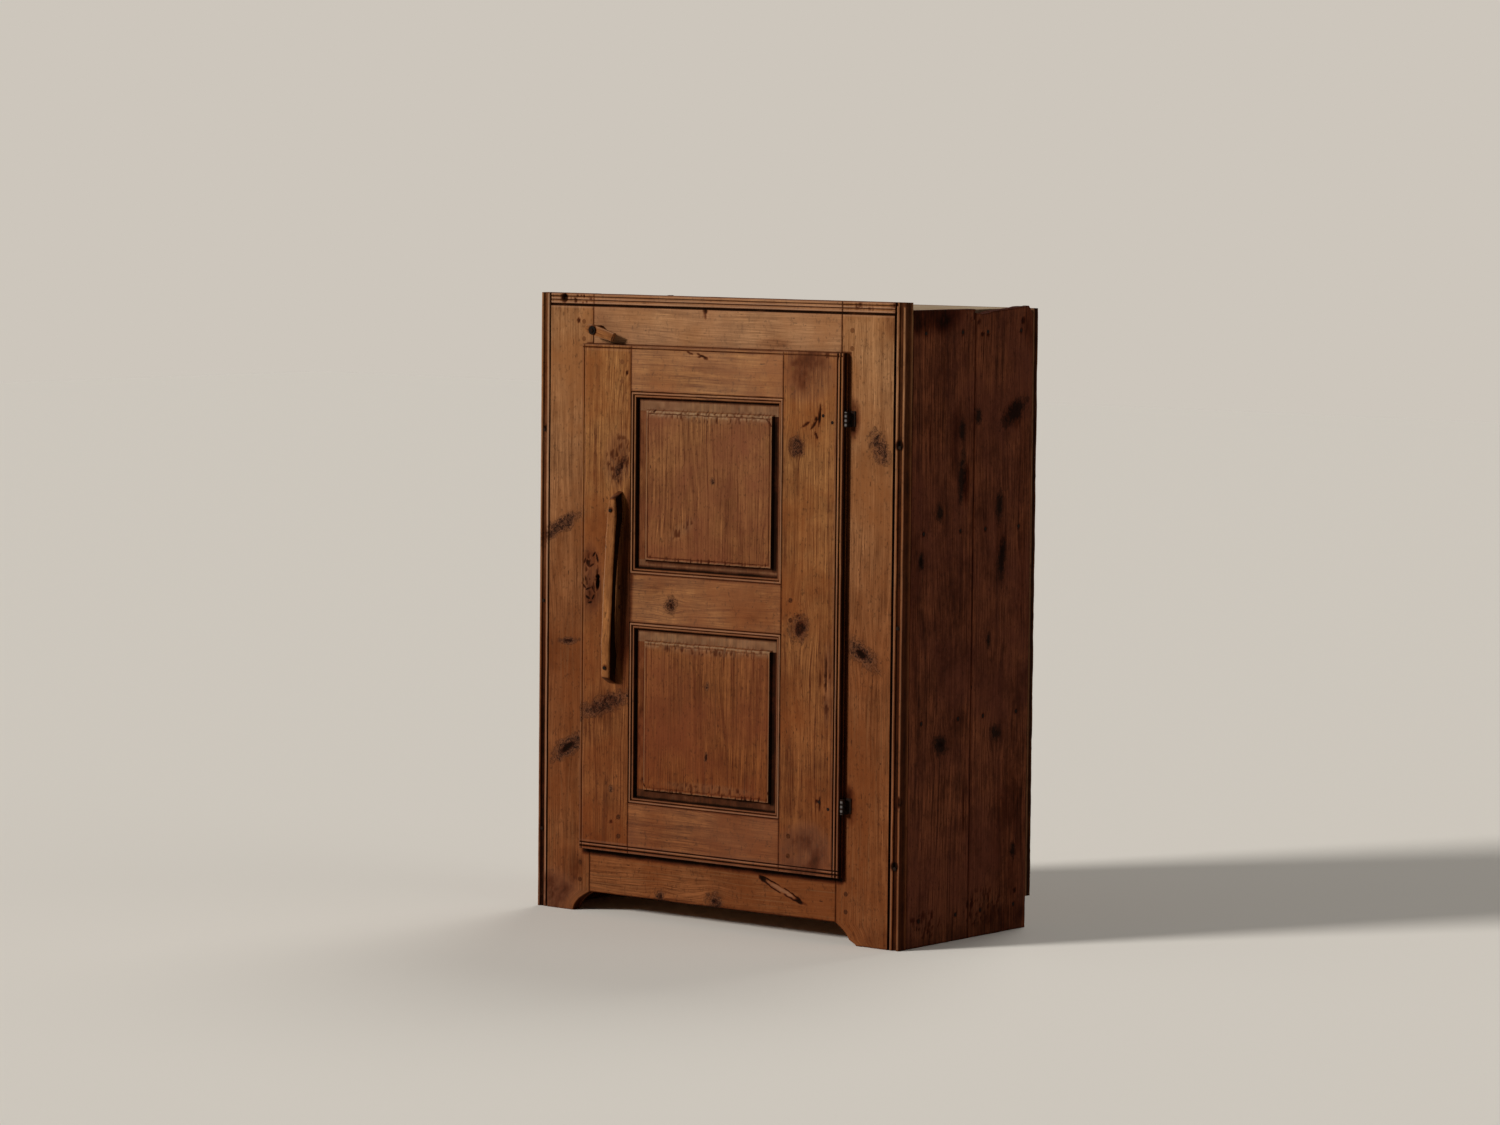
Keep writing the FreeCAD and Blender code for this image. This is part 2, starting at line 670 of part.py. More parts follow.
inside = ("inside_left", "inside_right")
board_rows = {"front": ("frame_back", "board_seam"), "rear": ("board_seam + board_gap", "sides_back")}
for row, y in board_rows.items():
    name = f"top_board_{row}"
    blank = board(name + "_board", inside, y, ("top_underside", "top_surface"))
    node(name, without(name, blank, [back_nails]) if row == "rear" else blank)
    name = f"bottom_board_{row}"
    blank = board(name + "_board", inside, y, ("bottom_lift", "bottom_surface"))
    node(name, without(name, blank, [back_nails]) if row == "rear" else blank)

shelf_ends = ("inside_left + shelf_gap", "inside_right - shelf_gap")
for which, low in (("lower", "shelf_low"), ("upper", "shelf_high")):
    node(f"shelf_{which}", board(f"shelf_{which}", shelf_ends, ("frame_back", "sides_back"),
                                 (low, f"{low} + shelf_thickness")))

cleat_faces = {
    "left": ("inside_left", "inside_left + cleat_size"),
    "right": ("inside_right - cleat_size", "inside_right"),
}
for which, top in cleat_height.items():
    for side, x in cleat_faces.items():
        name = f"cleat_{which}_{side}"
        blank = board(name + "_bar", x, ("frame_back", "sides_back"), (f"{top} - cleat_size", top))
        node(name, without(name, blank, [side_nails[side]]))

for column in range(BACK_BOARDS):
    name = f"back_board_{column + 1}"
    start = f"left + width * {column} / {BACK_BOARDS}" + (" + board_gap" if column else "")
    blank = board(name + "_board", (start, f"left + width * {column + 1} / {BACK_BOARDS}"),
                  ("sides_back", "rear"), ("back_lift", "top_surface"))
    node(name, without(name, blank, [back_nails]))

# ---------------------------------------------------------------------------------------------
# Door
# ---------------------------------------------------------------------------------------------
door_width = "door_right - door_left"
door_height = "door_top - door_bottom"
edge_cuts = [
    door_moulding("door_edge_left", "left", "door_left", f"door_bottom - {CLEAR}",
                  f"{door_height} + 2 * {CLEAR}", 1),
    door_moulding("door_edge_right", "right", "door_right", f"door_top + {CLEAR}",
                  f"{door_height} + 2 * {CLEAR}", 2),
    door_moulding("door_edge_top", "top", f"door_left - {CLEAR}", "door_top",
                  f"{door_width} + 2 * {CLEAR}", 1),
    door_moulding("door_edge_bottom", "bottom", f"door_right + {CLEAR}", "door_bottom",
                  f"{door_width} + 2 * {CLEAR}", 2),
]
rebate = without(
    "rebate",
    board("rebate_outside", (f"door_left - {CLEAR}", f"door_right + {CLEAR}"),
          ("lip_back", f"door_back + {CLEAR}"),
          (f"door_bottom - {CLEAR}", f"door_top + {CLEAR}")),
    [board("rebate_inside", ("opening_left + door_gap", "opening_right - door_gap"),
           (f"lip_back - {CLEAR}", f"door_back + 2 * {CLEAR}"),
           ("opening_bottom + door_gap", "opening_top - door_gap"))])
openings = {"upper": ("upper_bottom", "upper_top"), "lower": ("lower_bottom", "lower_top")}
grooves = []
for which, (low, high) in openings.items():
    grooves.append(board(f"groove_{which}",
                         ("seam_left - groove_reach", "seam_right + groove_reach"),
                         ("groove_front - panel_gap", "groove_back + panel_gap"),
                         (f"{low} - groove_reach", f"{high} + groove_reach")))
strips = {}
for which, (low, high) in openings.items():
    tall = f"{high} - ({low})"
    wide = "seam_right - seam_left"
    strips[which, "left"] = sticking(f"sticking_{which}_left", "left", "seam_left", low, tall)
    strips[which, "right"] = sticking(f"sticking_{which}_right", "right", "seam_right", high, tall)
    strips[which, "top"] = sticking(f"sticking_{which}_top", "top", "seam_left", high, wide)
    strips[which, "bottom"] = sticking(f"sticking_{which}_bottom", "bottom", "seam_right", low, wide)

leaf_low = "hinge_height / 2 + leaf_margin"
kerfs = []
for which, z in hinge_heights.items():
    kerfs.append(board(f"kerf_{which}",
                       ("door_right - door_leaf_length - kerf_gap", f"door_right + {CLEAR}"),
                       ("hinge_y - leaf_thickness / 2 - kerf_gap",
                        "hinge_y + leaf_thickness / 2 + kerf_gap"),
                       (f"{z} - {leaf_low} - kerf_gap", f"{z} + {leaf_low} + kerf_gap")))
keyhole = joined("keyhole", [
    rod("keyhole_round", "back", ("door_left + keyhole_inset", f"door_front - {CLEAR}",
                                  "keyhole_height"),
        "keyhole_radius", f"door_thickness + 2 * {CLEAR}"),
    board("keyhole_slit",
          ("door_left + keyhole_inset - keyhole_slot / 2",
           "door_left + keyhole_inset + keyhole_slot / 2"),
          (f"door_front - {CLEAR}", f"door_back + {CLEAR}"),
          ("keyhole_height", "keyhole_height + keyhole_length")),
])

stile_edges = {"left": ("door_left", "seam_left"), "right": ("seam_right", "door_right")}
door_mortise_reach = "door_tenon_length + mortise_spare"
door_mortises = {
    "left": (f"seam_left - ({door_mortise_reach})", "seam_left"),
    "right": ("seam_right", f"seam_right + {door_mortise_reach}"),
}
for side, x in stile_edges.items():
    name = f"door_stile_{side}"
    blank = board(name + "_board", x, ("door_front", "door_back"), ("door_bottom", "door_top"))
    body = joined(name + "_blank", [blank, strips["upper", side], strips["lower", side]])
    tools = edge_cuts + [rebate, door_pegs] + grooves
    for rail, low in door_tenons.items():
        tools.append(mortise(f"{name}_{rail}_mortise", door_mortises[side], low,
                             "door_tenon_height", "groove_front", "groove_back"))
    tools += [handle_nails, keyhole] if side == "left" else kerfs + [hinge_door_nails]
    node(name, without(name, body, tools))

rails = {
    "top": ("upper_top", "door_top", [("upper", "top")]),
    "middle": ("lower_top", "upper_bottom", [("upper", "bottom"), ("lower", "top")]),
    "bottom": ("door_bottom", "lower_bottom", [("lower", "bottom")]),
}
for rail, (low, high, edges) in rails.items():
    name = f"door_rail_{rail}"
    blank = board(name + "_board", ("seam_left", "seam_right"), ("door_front", "door_back"),
                  (low, high))
    tenon = board(name + "_tenons",
                  ("seam_left - door_tenon_length", "seam_right + door_tenon_length"),
                  ("groove_front", "groove_back"),
                  (door_tenons[rail], f"{door_tenons[rail]} + door_tenon_height"))
    body = joined(name + "_blank", [blank] + [strips[edge] for edge in edges])
    carved = without(name + "_carved", body, edge_cuts + [rebate] + grooves)
    node(name, without(name, joined(name + "_tenoned", [carved, tenon]), [door_pegs]))

for which, (low, high) in openings.items():
    name = f"door_panel_{which}"
    body = doc.addObject("PartDesign::Body", name)
    rim = "groove_reach - panel_play"
    plate = [
        (f"-({rim})", f"-({rim})"),
        (f"seam_right - seam_left + {rim}", f"-({rim})"),
        (f"seam_right - seam_left + {rim}", f"{high} - ({low}) + {rim}"),
        (f"-({rim})", f"{high} - ({low}) + {rim}"),
    ]
    sketch = outline(body, name + "_plate_outline", "XZ_Plane", plate)
    pad(body, name + "_plate", sketch, "panel_thickness", reverse=True)
    field = [
        ("field_margin_wide", "field_margin_narrow"),
        ("seam_right - seam_left - field_margin_narrow", "field_margin_narrow"),
        ("seam_right - seam_left - field_margin_narrow", f"{high} - ({low}) - field_margin_wide"),
        ("field_margin_wide", f"{high} - ({low}) - field_margin_wide"),
    ]
    spread = "field_raise * tan(field_slope * 1 deg)"
    wider = [(f"{x} {'-' if index in (0, 3) else '+'} {spread}",
              f"{z} {'-' if index < 2 else '+'} {spread}")
             for index, (x, z) in enumerate(field)]
    sketch = outline(body, name + "_field_outline", "XZ_Plane", wider)
    raised = pad(body, name + "_field", sketch, "field_raise")
    raised.setExpression("TaperAngle", bound("-field_slope"))
    node(name, put(body, "seam_left", "groove_front", low))

# ---------------------------------------------------------------------------------------------
# Hinges: four knuckles on one pin, the first and third on the frame's leaf
# ---------------------------------------------------------------------------------------------
KNUCKLES = 4
knuckle = f"hinge_height / {KNUCKLES}"

for which, z in hinge_heights.items():
    bore = rod(f"hinge_bore_{which}", "up", ("hinge_x", "hinge_y", f"{z} - hinge_height"),
               "pin_radius + pin_clearance", "2 * hinge_height")
    leaves = {"frame": [], "door": []}
    leaves["frame"].append(board(
        f"hinge_frame_plate_{which}",
        ("hinge_x + barrel_radius - leaf_thickness", "hinge_x + frame_leaf_width"),
        ("frame_front - leaf_thickness", "frame_front"),
        (f"{z} - {leaf_low}", f"{z} + {leaf_low}")))
    leaves["door"].append(board(
        f"hinge_door_plate_{which}",
        ("door_right - door_leaf_length", "door_right"),
        ("hinge_y - leaf_thickness / 2", "hinge_y + leaf_thickness / 2"),
        (f"{z} - {leaf_low}", f"{z} + {leaf_low}")))
    for count in range(KNUCKLES):
        owner = "frame" if count % 2 == 0 else "door"
        low = f"{z} - hinge_height / 2 + {count} * {knuckle} + knuckle_gap / 2"
        tall = f"{knuckle} - knuckle_gap"
        leaves[owner].append(rod(f"knuckle_{which}_{count}", "up", ("hinge_x", "hinge_y", low),
                                 "barrel_radius", tall))
        if owner == "frame":
            x = ("hinge_x + barrel_radius - leaf_thickness", "hinge_x + barrel_radius")
            y = ("hinge_y", "frame_front")
        else:
            x = (f"door_right - {CLEAR}", "hinge_x - pin_radius")
            y = ("hinge_y - leaf_thickness / 2", "hinge_y + leaf_thickness / 2")
        leaves[owner].append(board(f"hinge_web_{which}_{count}", x, y, (low, f"{low} + {tall}")))
    for owner, pieces in leaves.items():
        name = f"hinge_{owner}_leaf_{which}"
        holes = hinge_frame_nails if owner == "frame" else hinge_door_nails
        node(name, without(name, joined(name + "_blank", pieces), [bore, holes]))
    name = f"hinge_pin_{which}"
    node(name, rod(name, "up", ("hinge_x", "hinge_y", f"{z} - hinge_height / 2"),
                   "pin_radius", "hinge_height"))

# ---------------------------------------------------------------------------------------------
# Pull handle: one whittled bar, hollowed behind the grip
# ---------------------------------------------------------------------------------------------
handle_body = doc.addObject("PartDesign::Body", "handle_bar")
half = "handle_length / 2"
handle_side = outline(handle_body, "handle_side", "YZ_Plane", [
    ("0", f"-({half})"),
    ("0", "-handle_hollow / 2", "-handle_gap"),
    ("0", "handle_hollow / 2"),
    ("0", half),
    ("-handle_stand", f"{half} - handle_end_slant"),
    ("-handle_stand", f"handle_end_slant - {half}"),
])
bar = pad(handle_body, "handle_run", handle_side, "handle_width", middle=True)
doc.recompute()
front_edges = [f"Edge{index + 1}" for index, edge in enumerate(bar.Shape.Edges)
               if all(vertex.Point.y < 0 for vertex in edge.Vertexes)]
rounded = handle_body.newObject("PartDesign::Fillet", "handle_rounding")
rounded.Base = (bar, front_edges)
rounded.setExpression("Radius", bound("handle_round"))
put(handle_body, "handle_x", "door_front", "handle_height")
handle_body.Placement = Placement(handle_body.Placement.Base, Rotation(Vector(0, 1, 0), 1))
handle_body.setExpression("Placement.Rotation.Angle", bound("handle_lean * 1 deg"))
node("pull_handle", without("pull_handle", handle_body, [handle_nails]))

# ---------------------------------------------------------------------------------------------
# Turn button on its nail, over a foot that lifts it clear of the door's face
# ---------------------------------------------------------------------------------------------
button = doc.addObject("PartDesign::Body", "turn_button")
tip = "button_length - button_overhang"
bar_outline = outline(button, "button_outline", "XZ_Plane", [
    ("-button_width / 2", f"-({tip}) - button_slant / 2"),
    ("button_width / 2", f"-({tip}) + button_slant / 2"),
    ("button_width / 2", "button_overhang / 2", "button_overhang / 2"),
    ("-button_width / 2", "button_overhang / 2"),
])
pad(button, "button_bar", bar_outline, "button_thickness")
foot = circle(button, "button_foot_ring", "button_foot_radius")
pad(button, "button_foot", foot, "frame_front - button_back - button_gap", reverse=True)
hole = circle(button, "button_hole_ring", "button_nail_radius + button_nail_clearance")
pocket(button, "button_hole", hole, THROUGH, middle=True)
put(button, "button_x", "button_back", "button_z")
button.Placement = Placement(button.Placement.Base, Rotation(Vector(0, -1, 0), 1))
button.setExpression("Placement.Rotation.Angle", bound("button_rest * 1 deg"))
node("turn_button", button)

washer_front = "button_face - button_gap - washer_thickness"
disc = rod("washer_disc", "back", ("button_x", washer_front, "button_z"), "washer_radius",
           "washer_thickness")
washer_hole = rod("washer_hole", "back", ("button_x", f"{washer_front} - {CLEAR}", "button_z"),
                  "button_nail_radius", f"washer_thickness + 2 * {CLEAR}")
node("turn_button_washer", without("turn_button_washer", disc, [washer_hole]))
head_front = f"{washer_front} - button_nail_knob"
nail_head = rod("button_nail_knob", "back", ("button_x", head_front, "button_z"),
                "button_nail_head", "button_nail_knob")
shank = rod("button_nail_shank", "back", ("button_x", washer_front, "button_z"),
            "button_nail_radius", f"frame_back - ({washer_front})")
node("turn_button_nail", joined("turn_button_nail", [nail_head, shank]))

# ---------------------------------------------------------------------------------------------
# Check every object, then write one file for each piece
# ---------------------------------------------------------------------------------------------
doc.recompute()
failed = [item.Name for item in doc.Objects if {"Invalid", "Error"} & set(item.State)]
if failed:
    raise RuntimeError("objects that failed: " + ", ".join(failed))
os.makedirs("parts", exist_ok=True)
for name, item in NODES.items():
    shape = item.Shape
    if shape.isNull() or not shape.isValid() or not shape.Solids:
        raise RuntimeError(f"{name} has no valid solid")
    shape.exportStep(f"parts/{name}.step")
    print(f"{name}: {len(shape.Solids)} solid(s), {shape.Volume / 1000:.1f} cm3")
print(f"{len(NODES)} pieces")
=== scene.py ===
# %% [markdown]
# # A jelly cupboard of old pine
# The cupboard is a nailed carcass with a pegged face frame and one panelled door. The packed
# model gives every board's place and size; this lesson builds each visible board again as a
# worn surface, gives it a pine that follows the board, and lights it softly.

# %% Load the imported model
import math
from functools import partial

import bpy
import numpy as np
from mathutils import Euler, Matrix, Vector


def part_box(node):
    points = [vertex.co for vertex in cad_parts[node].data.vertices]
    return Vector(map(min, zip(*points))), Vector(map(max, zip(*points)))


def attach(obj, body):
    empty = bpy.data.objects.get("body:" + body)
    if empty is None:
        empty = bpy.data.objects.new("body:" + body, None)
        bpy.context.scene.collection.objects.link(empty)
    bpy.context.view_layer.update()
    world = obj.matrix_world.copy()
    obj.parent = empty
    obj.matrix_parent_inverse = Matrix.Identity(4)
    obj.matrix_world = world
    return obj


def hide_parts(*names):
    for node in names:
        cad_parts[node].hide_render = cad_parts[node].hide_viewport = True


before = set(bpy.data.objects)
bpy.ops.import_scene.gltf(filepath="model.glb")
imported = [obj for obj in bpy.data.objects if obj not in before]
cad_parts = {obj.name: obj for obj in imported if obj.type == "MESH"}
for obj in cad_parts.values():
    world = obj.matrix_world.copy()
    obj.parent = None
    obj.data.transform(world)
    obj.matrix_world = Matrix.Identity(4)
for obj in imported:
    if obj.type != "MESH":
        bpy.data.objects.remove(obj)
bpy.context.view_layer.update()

# %% [markdown]
# ## Colours, noise and nodes
# Wood colours are written as sRGB codes, as a paint chart gives them, and Blender wants linear
# light, so one function turns them. Worn edges and dents need a smooth random height that is the
# same at each run, so it comes from seeded tables. One function adds any shader node.

# %% Helpers for colour and noise
MM = 0.001


def colour(code):
    """sRGB hex to linear RGBA: c / 12.92 up to 0.04045, and ((c + 0.055) / 1.055) ** 2.4 above."""
    channel = np.array([int(code[place:place + 2], 16) for place in (1, 3, 5)]) / 255
    linear = np.where(channel <= 0.04045, channel / 12.92, ((channel + 0.055) / 1.055) ** 2.4)
    return (*linear.tolist(), 1.0)


def noise(seed, u, v=0.0):
    """Smooth noise from -1 to 1: random numbers on a unit lattice, blended across each cell with
    the curve 3t² - 2t³."""
    table = np.random.default_rng(seed).uniform(-1, 1, (128, 128))
    u, v = np.broadcast_arrays(np.asarray(u, float), np.asarray(v, float))
    i, j = np.floor(u).astype(int), np.floor(v).astype(int)
    s, t = u - i, v - j
    s, t = s * s * (3 - 2 * s), t * t * (3 - 2 * t)
    low = table[i % 128, j % 128] * (1 - s) + table[(i + 1) % 128, j % 128] * s
    high = table[i % 128, (j + 1) % 128] * (1 - s) + table[(i + 1) % 128, (j + 1) % 128] * s
    return low * (1 - t) + high * t


def positive(seed, u, v=0.0):
    """The same noise from 0 to 1."""
    return (noise(seed, u, v) + 1) / 2


def ease(low, high, value):
    """0 below low, 1 above high and the curve 3t² - 2t³ between them."""
    share = np.clip((value - low) / (high - low), 0, 1)
    return share * share * (3 - 2 * share)


print("mid grey in linear light:", np.round(colour("#808080"), 3))

# %% Helpers for nodes
PLUS, MINUS, TIMES = ({"operation": word} for word in ("ADD", "SUBTRACT", "MULTIPLY"))
RGBA = {"data_type": "RGBA"}
ONE_WAY = {"noise_dimensions": "1D"}


def wire(tree, made, values):
    """Give a node's inputs plain values or the outputs of other nodes, in a list that follows the
    inputs in use or in a dict by name."""
    in_use = [socket for socket in made.inputs if socket.enabled]
    for place, value in values.items() if isinstance(values, dict) else enumerate(values):
        socket = in_use[place] if isinstance(place, int) else made.inputs[place]
        if isinstance(value, bpy.types.NodeSocket):
            tree.links.new(value, socket)
        else:
            socket.default_value = value


def add(tree, kind, values=(), settings=None, output=None):
    """One shader node, with its settings and then its values. Returns the named output, or else
    the first that is in use."""
    made = tree.nodes.new("ShaderNode" + kind)
    for name, value in (settings or {}).items():
        setattr(made, name, value)
    wire(tree, made, values)
    return made.outputs[output] if output else next(socket for socket in made.outputs if socket.enabled)


def start_material(name):
    """A new material, its node tree, its Principled shader and add for its tree."""
    material = bpy.data.materials.new(name)
    material.use_nodes = True
    tree = material.node_tree
    return material, tree, tree.nodes["Principled BSDF"], partial(add, tree)


print("settings of mixing nodes:", PLUS, MINUS, TIMES, RGBA)

# %% [markdown]
# ## A board as one closed skin
# A plane can make flat faces, but an old board has none: its arrises are worn round, its mouldings
# are scratched in, and nails sit in small dents. So a board is a grid over its outer face, where
# each point is sunk by a depth, a coarser grid over its inner face, and a wall that joins the two.
# The grid's lines lie close together where the shape turns fast.

# %% Which way a board faces
FACING = {
    # axis across the board, axis along its grain, axis through it, and the way it faces
    "front_upright": (0, 2, 1, -1),
    "front_level": (2, 0, 1, -1),
    "back_upright": (0, 2, 1, 1),
    "right": (1, 2, 0, 1),
    "left": (1, 2, 0, -1),
    "up": (1, 0, 2, 1),
}


def placed(facing, a, b, c):
    """Board coordinates (across, along, outward) turned into the cupboard's x, y and z."""
    across, along, through, way = FACING[facing]
    points = np.empty(np.broadcast(a, b, c).shape + (3,))
    points[..., across], points[..., along], points[..., through] = a, b, way * c
    return points


def grid_lines(low, high, step, rounding, extra=()):
    """Places of the grid's lines: even steps, a few close lines at both edges for the rounding,
    and the extra ones, with any that nearly coincide dropped."""
    near = rounding * np.array([0, 0.04, 0.15, 0.35, 0.65, 1.0])
    even = np.linspace(low, high, max(2, int(round((high - low) / step)) + 1))
    every = np.concatenate([even, low + near, high - near, np.asarray(extra, float)])
    every = np.unique(every[(every >= low) & (every <= high)])
    keep = np.concatenate([[True], np.diff(every) > 0.02 * MM])
    every = every[keep]
    every[-1] = high
    return every


print("grid lines over 50 mm:", len(grid_lines(0, 50 * MM, 2.4 * MM, 1.6 * MM)))


# %% Faces of a board
def board_faces(rows, columns, kept_rows, kept_columns, flip):
    """Polygons of a board's skin, and the outer grid's rim as vertex numbers. Vertices are
    counted: the outer grid, one ring half way down the wall, then the kept crossings of the inner
    grid. A polygon of the wall's lower half takes several short edges of the ring to one long edge
    of the inner face."""
    outer = np.arange(rows * columns).reshape(rows, columns)
    ring = np.concatenate([outer[:, 0], outer[-1, 1:], outer[-2::-1, -1], outer[0, -2:0:-1]])
    count = len(ring)
    middle = rows * columns + np.arange(count)
    inner = rows * columns + count + np.arange(len(kept_rows) * len(kept_columns))
    inner = inner.reshape(len(kept_rows), len(kept_columns))
    row_of, column_of = np.full(rows, -1), np.full(columns, -1)
    row_of[kept_rows] = np.arange(len(kept_rows))
    column_of[kept_columns] = np.arange(len(kept_columns))
    faces = [np.stack([outer[:-1, :-1], outer[1:, :-1], outer[1:, 1:], outer[:-1, 1:]], -1)]
    after = np.roll(np.arange(count), -1)
    faces.append(np.stack([ring, middle, middle[after], ring[after]], -1))
    faces.append(np.stack([inner[:-1, :-1], inner[:-1, 1:], inner[1:, 1:], inner[1:, :-1]], -1))
    faces = [face for block in faces for face in block.reshape(-1, 4)]
    at_row, at_column = row_of[ring // columns], column_of[ring % columns]
    stops = np.flatnonzero((at_row >= 0) & (at_column >= 0))
    under = inner[at_row[stops], at_column[stops]]
    for first in range(len(stops)):
        last = (first + 1) % len(stops)
        span = (stops[last] - stops[first]) % count
        run = middle[(stops[first] + np.arange(span, 0, -1)) % count]
        faces.append(np.concatenate([[middle[stops[first]], under[first], under[last]], run]))
    return [face[::-1] for face in faces] if flip else faces, ring


print("faces of the smallest board:", len(board_faces(3, 3, [0, 1, 2], [0, 1, 2], False)[0]))

# %% [markdown]
# ## Knots, dents, dirt and painted shade
# A knot is a branch sawn across: the grain flows round it, and it is darker than the wood. Each
# point of a board therefore carries four values that the pine material reads: where it lies in
# the grain, how near a knot it is, how much dirt and painted shade darken it, and how much wear
# and painted highlight pale it.

# %% Values that a point of a board carries
def oval(a, b, mark):
    """Distance to an oval mark (across, along, half width, half length, tilt in degrees): 0 at its
    middle and 1 on its rim."""
    across, along, wide, long, tilt = mark
    turn = math.radians(tilt)
    da, db = a - across * MM, b - along * MM
    side = (da * math.cos(turn) - db * math.sin(turn)) / (wide * MM)
    length = (da * math.sin(turn) + db * math.cos(turn)) / (long * MM)
    return np.hypot(side, length)


def knotted(a, b, knots):
    """How near each point is to a knot, 1 at its heart, 2/3 at its rim and 0 three radii away, and
    the place across the board once the grain is drawn in toward each knot's line."""
    near, across = np.zeros_like(a), a.copy()
    for knot in knots:
        middle_a, middle_b, wide, long = (value * MM for value in knot[:4])
        near = np.maximum(near, np.clip(1 - oval(a, b, knot) / 3, 0, 1))
        pull = 0.85 * np.exp(-((a - middle_a) / (2.0 * wide)) ** 2 - ((b - middle_b) / (2.6 * long)) ** 2)
        across = middle_a + (across - middle_a) * (1 - pull)
    return near, across


def rounding_depth(distance, radius):
    """Depth of a worn arris: a quarter circle, radius - sqrt(radius² - (radius - distance)²)."""
    inside = np.clip(radius - distance, 0, radius)
    return radius - np.sqrt(np.maximum(radius ** 2 - inside ** 2, 0))


print("a knot is felt to three radii:", knotted(np.array([0.0, 0.03]), np.zeros(2),
                                                 [(0, 0, 10, 12, 0)])[0].round(2))

# %% Worn edges and marks of a board
ARRIS = 1.6 * MM          # usual worn edge


def worn_edges(edges, arris, seed):
    """Depth and dirt near a board's edges: each arris is rounded to a radius that wanders between
    0.45 and about 2 times the usual one, and dirt lies over the last 3.2 mm."""
    depth, dirt = np.zeros_like(edges[0][0]), np.zeros_like(edges[0][0])
    for number, (distance, way_along) in enumerate(edges):
        more = positive(seed * 7 + number, way_along / (22 * MM))
        more = more * (0.55 + 0.9 * positive(seed * 7 + 4 + number, way_along / (6 * MM)))
        depth = np.maximum(depth, rounding_depth(distance, arris * (0.45 + 1.1 * more)))
        dirt = np.maximum(dirt, 0.42 * (1 - ease(0, 3.2 * MM, distance)))
    return depth, dirt


def marked(a, b, seed, dents, scars, smudges, rings):
    """Depth, darkening and paling of a board's marks. A dent is an oval with a depth and a
    darkening, a scar a rough oval, a smudge an oval of darkening and sometimes of grey film, without
    depth, and a ring the outline of an oval that is pale inside. The darkening is soiling, except
    for a few listed dents and smudges that are painted shadow."""
    sunk, dirt, worn = (np.zeros_like(a) for _ in range(3))
    for *mark, deep, dark in dents:
        reach = oval(a, b, mark)
        sunk = sunk + deep * MM * (1 - ease(0.35, 1.05, reach))
        dirt = np.maximum(dirt, dark * (1 - ease(0.6, 1.35, reach)))
    for *mark, deep, dark in scars:
        reach = oval(a, b, mark)
        torn = ease(0.1, 0.55, noise(seed + 31, a / (2.6 * MM), b / (6.5 * MM))
                    + 0.35 * noise(seed + 32, a / (9 * MM), b / (14 * MM)))
        torn = torn * (1 - ease(0.55, 1.1, reach))
        sunk, dirt = sunk + deep * MM * torn, np.maximum(dirt, dark * torn)
        worn = np.maximum(worn, 0.15 * dark * (1 - ease(0.5, 1.2, reach)))
    for *mark, dark, film in ((*smudge, 0.0)[:7] for smudge in smudges):
        patchy = 0.35 + 0.65 * positive(seed + 33, a / (16 * MM), b / (24 * MM))
        patchy = patchy * (0.6 + 0.4 * positive(seed + 35, a / (4 * MM), b / (7 * MM)))
        patchy = patchy * (1 - ease(0.35, 1.15, oval(a, b, mark)))
        dirt, worn = np.maximum(dirt, dark * patchy), np.maximum(worn, film * patchy)
    for *mark, deep, dark in rings:
        reach = oval(a, b, mark) + 0.192 * noise(seed + 36, a / (5 * MM), b / (5 * MM))
        trace = np.exp(-((reach - 1) / 0.2) ** 2)
        trace = trace * ease(-0.9, -0.1, noise(seed + 37, a / (9 * MM), b / (9 * MM)))
        sunk, dirt = sunk + deep * MM * trace, np.maximum(dirt, dark * trace)
        worn = np.maximum(worn, 0.22 * (1 - ease(0.4, 0.85, reach)))
    return sunk, dirt, worn


TRIAL = np.array([0.0, 4.0]) * MM
print("a dent at its middle and 4 mm off, mm deep:",
      (marked(TRIAL, 0 * TRIAL, 1, [(0, 0, 5, 5, 0, 1.0, 1.0)], (), (), ())[0] / MM).round(2))

# %% Build a board
SHELLS = {}
INNER_STEP = 4            # the inner face keeps each fourth line of the outer grid
SWAY = 0.25 * MM          # how far a long edge strays from straight
PLANED = ((0.16, 60, 110), (0.07, 9, 55))     # the plane's waves, mm: height, width, length


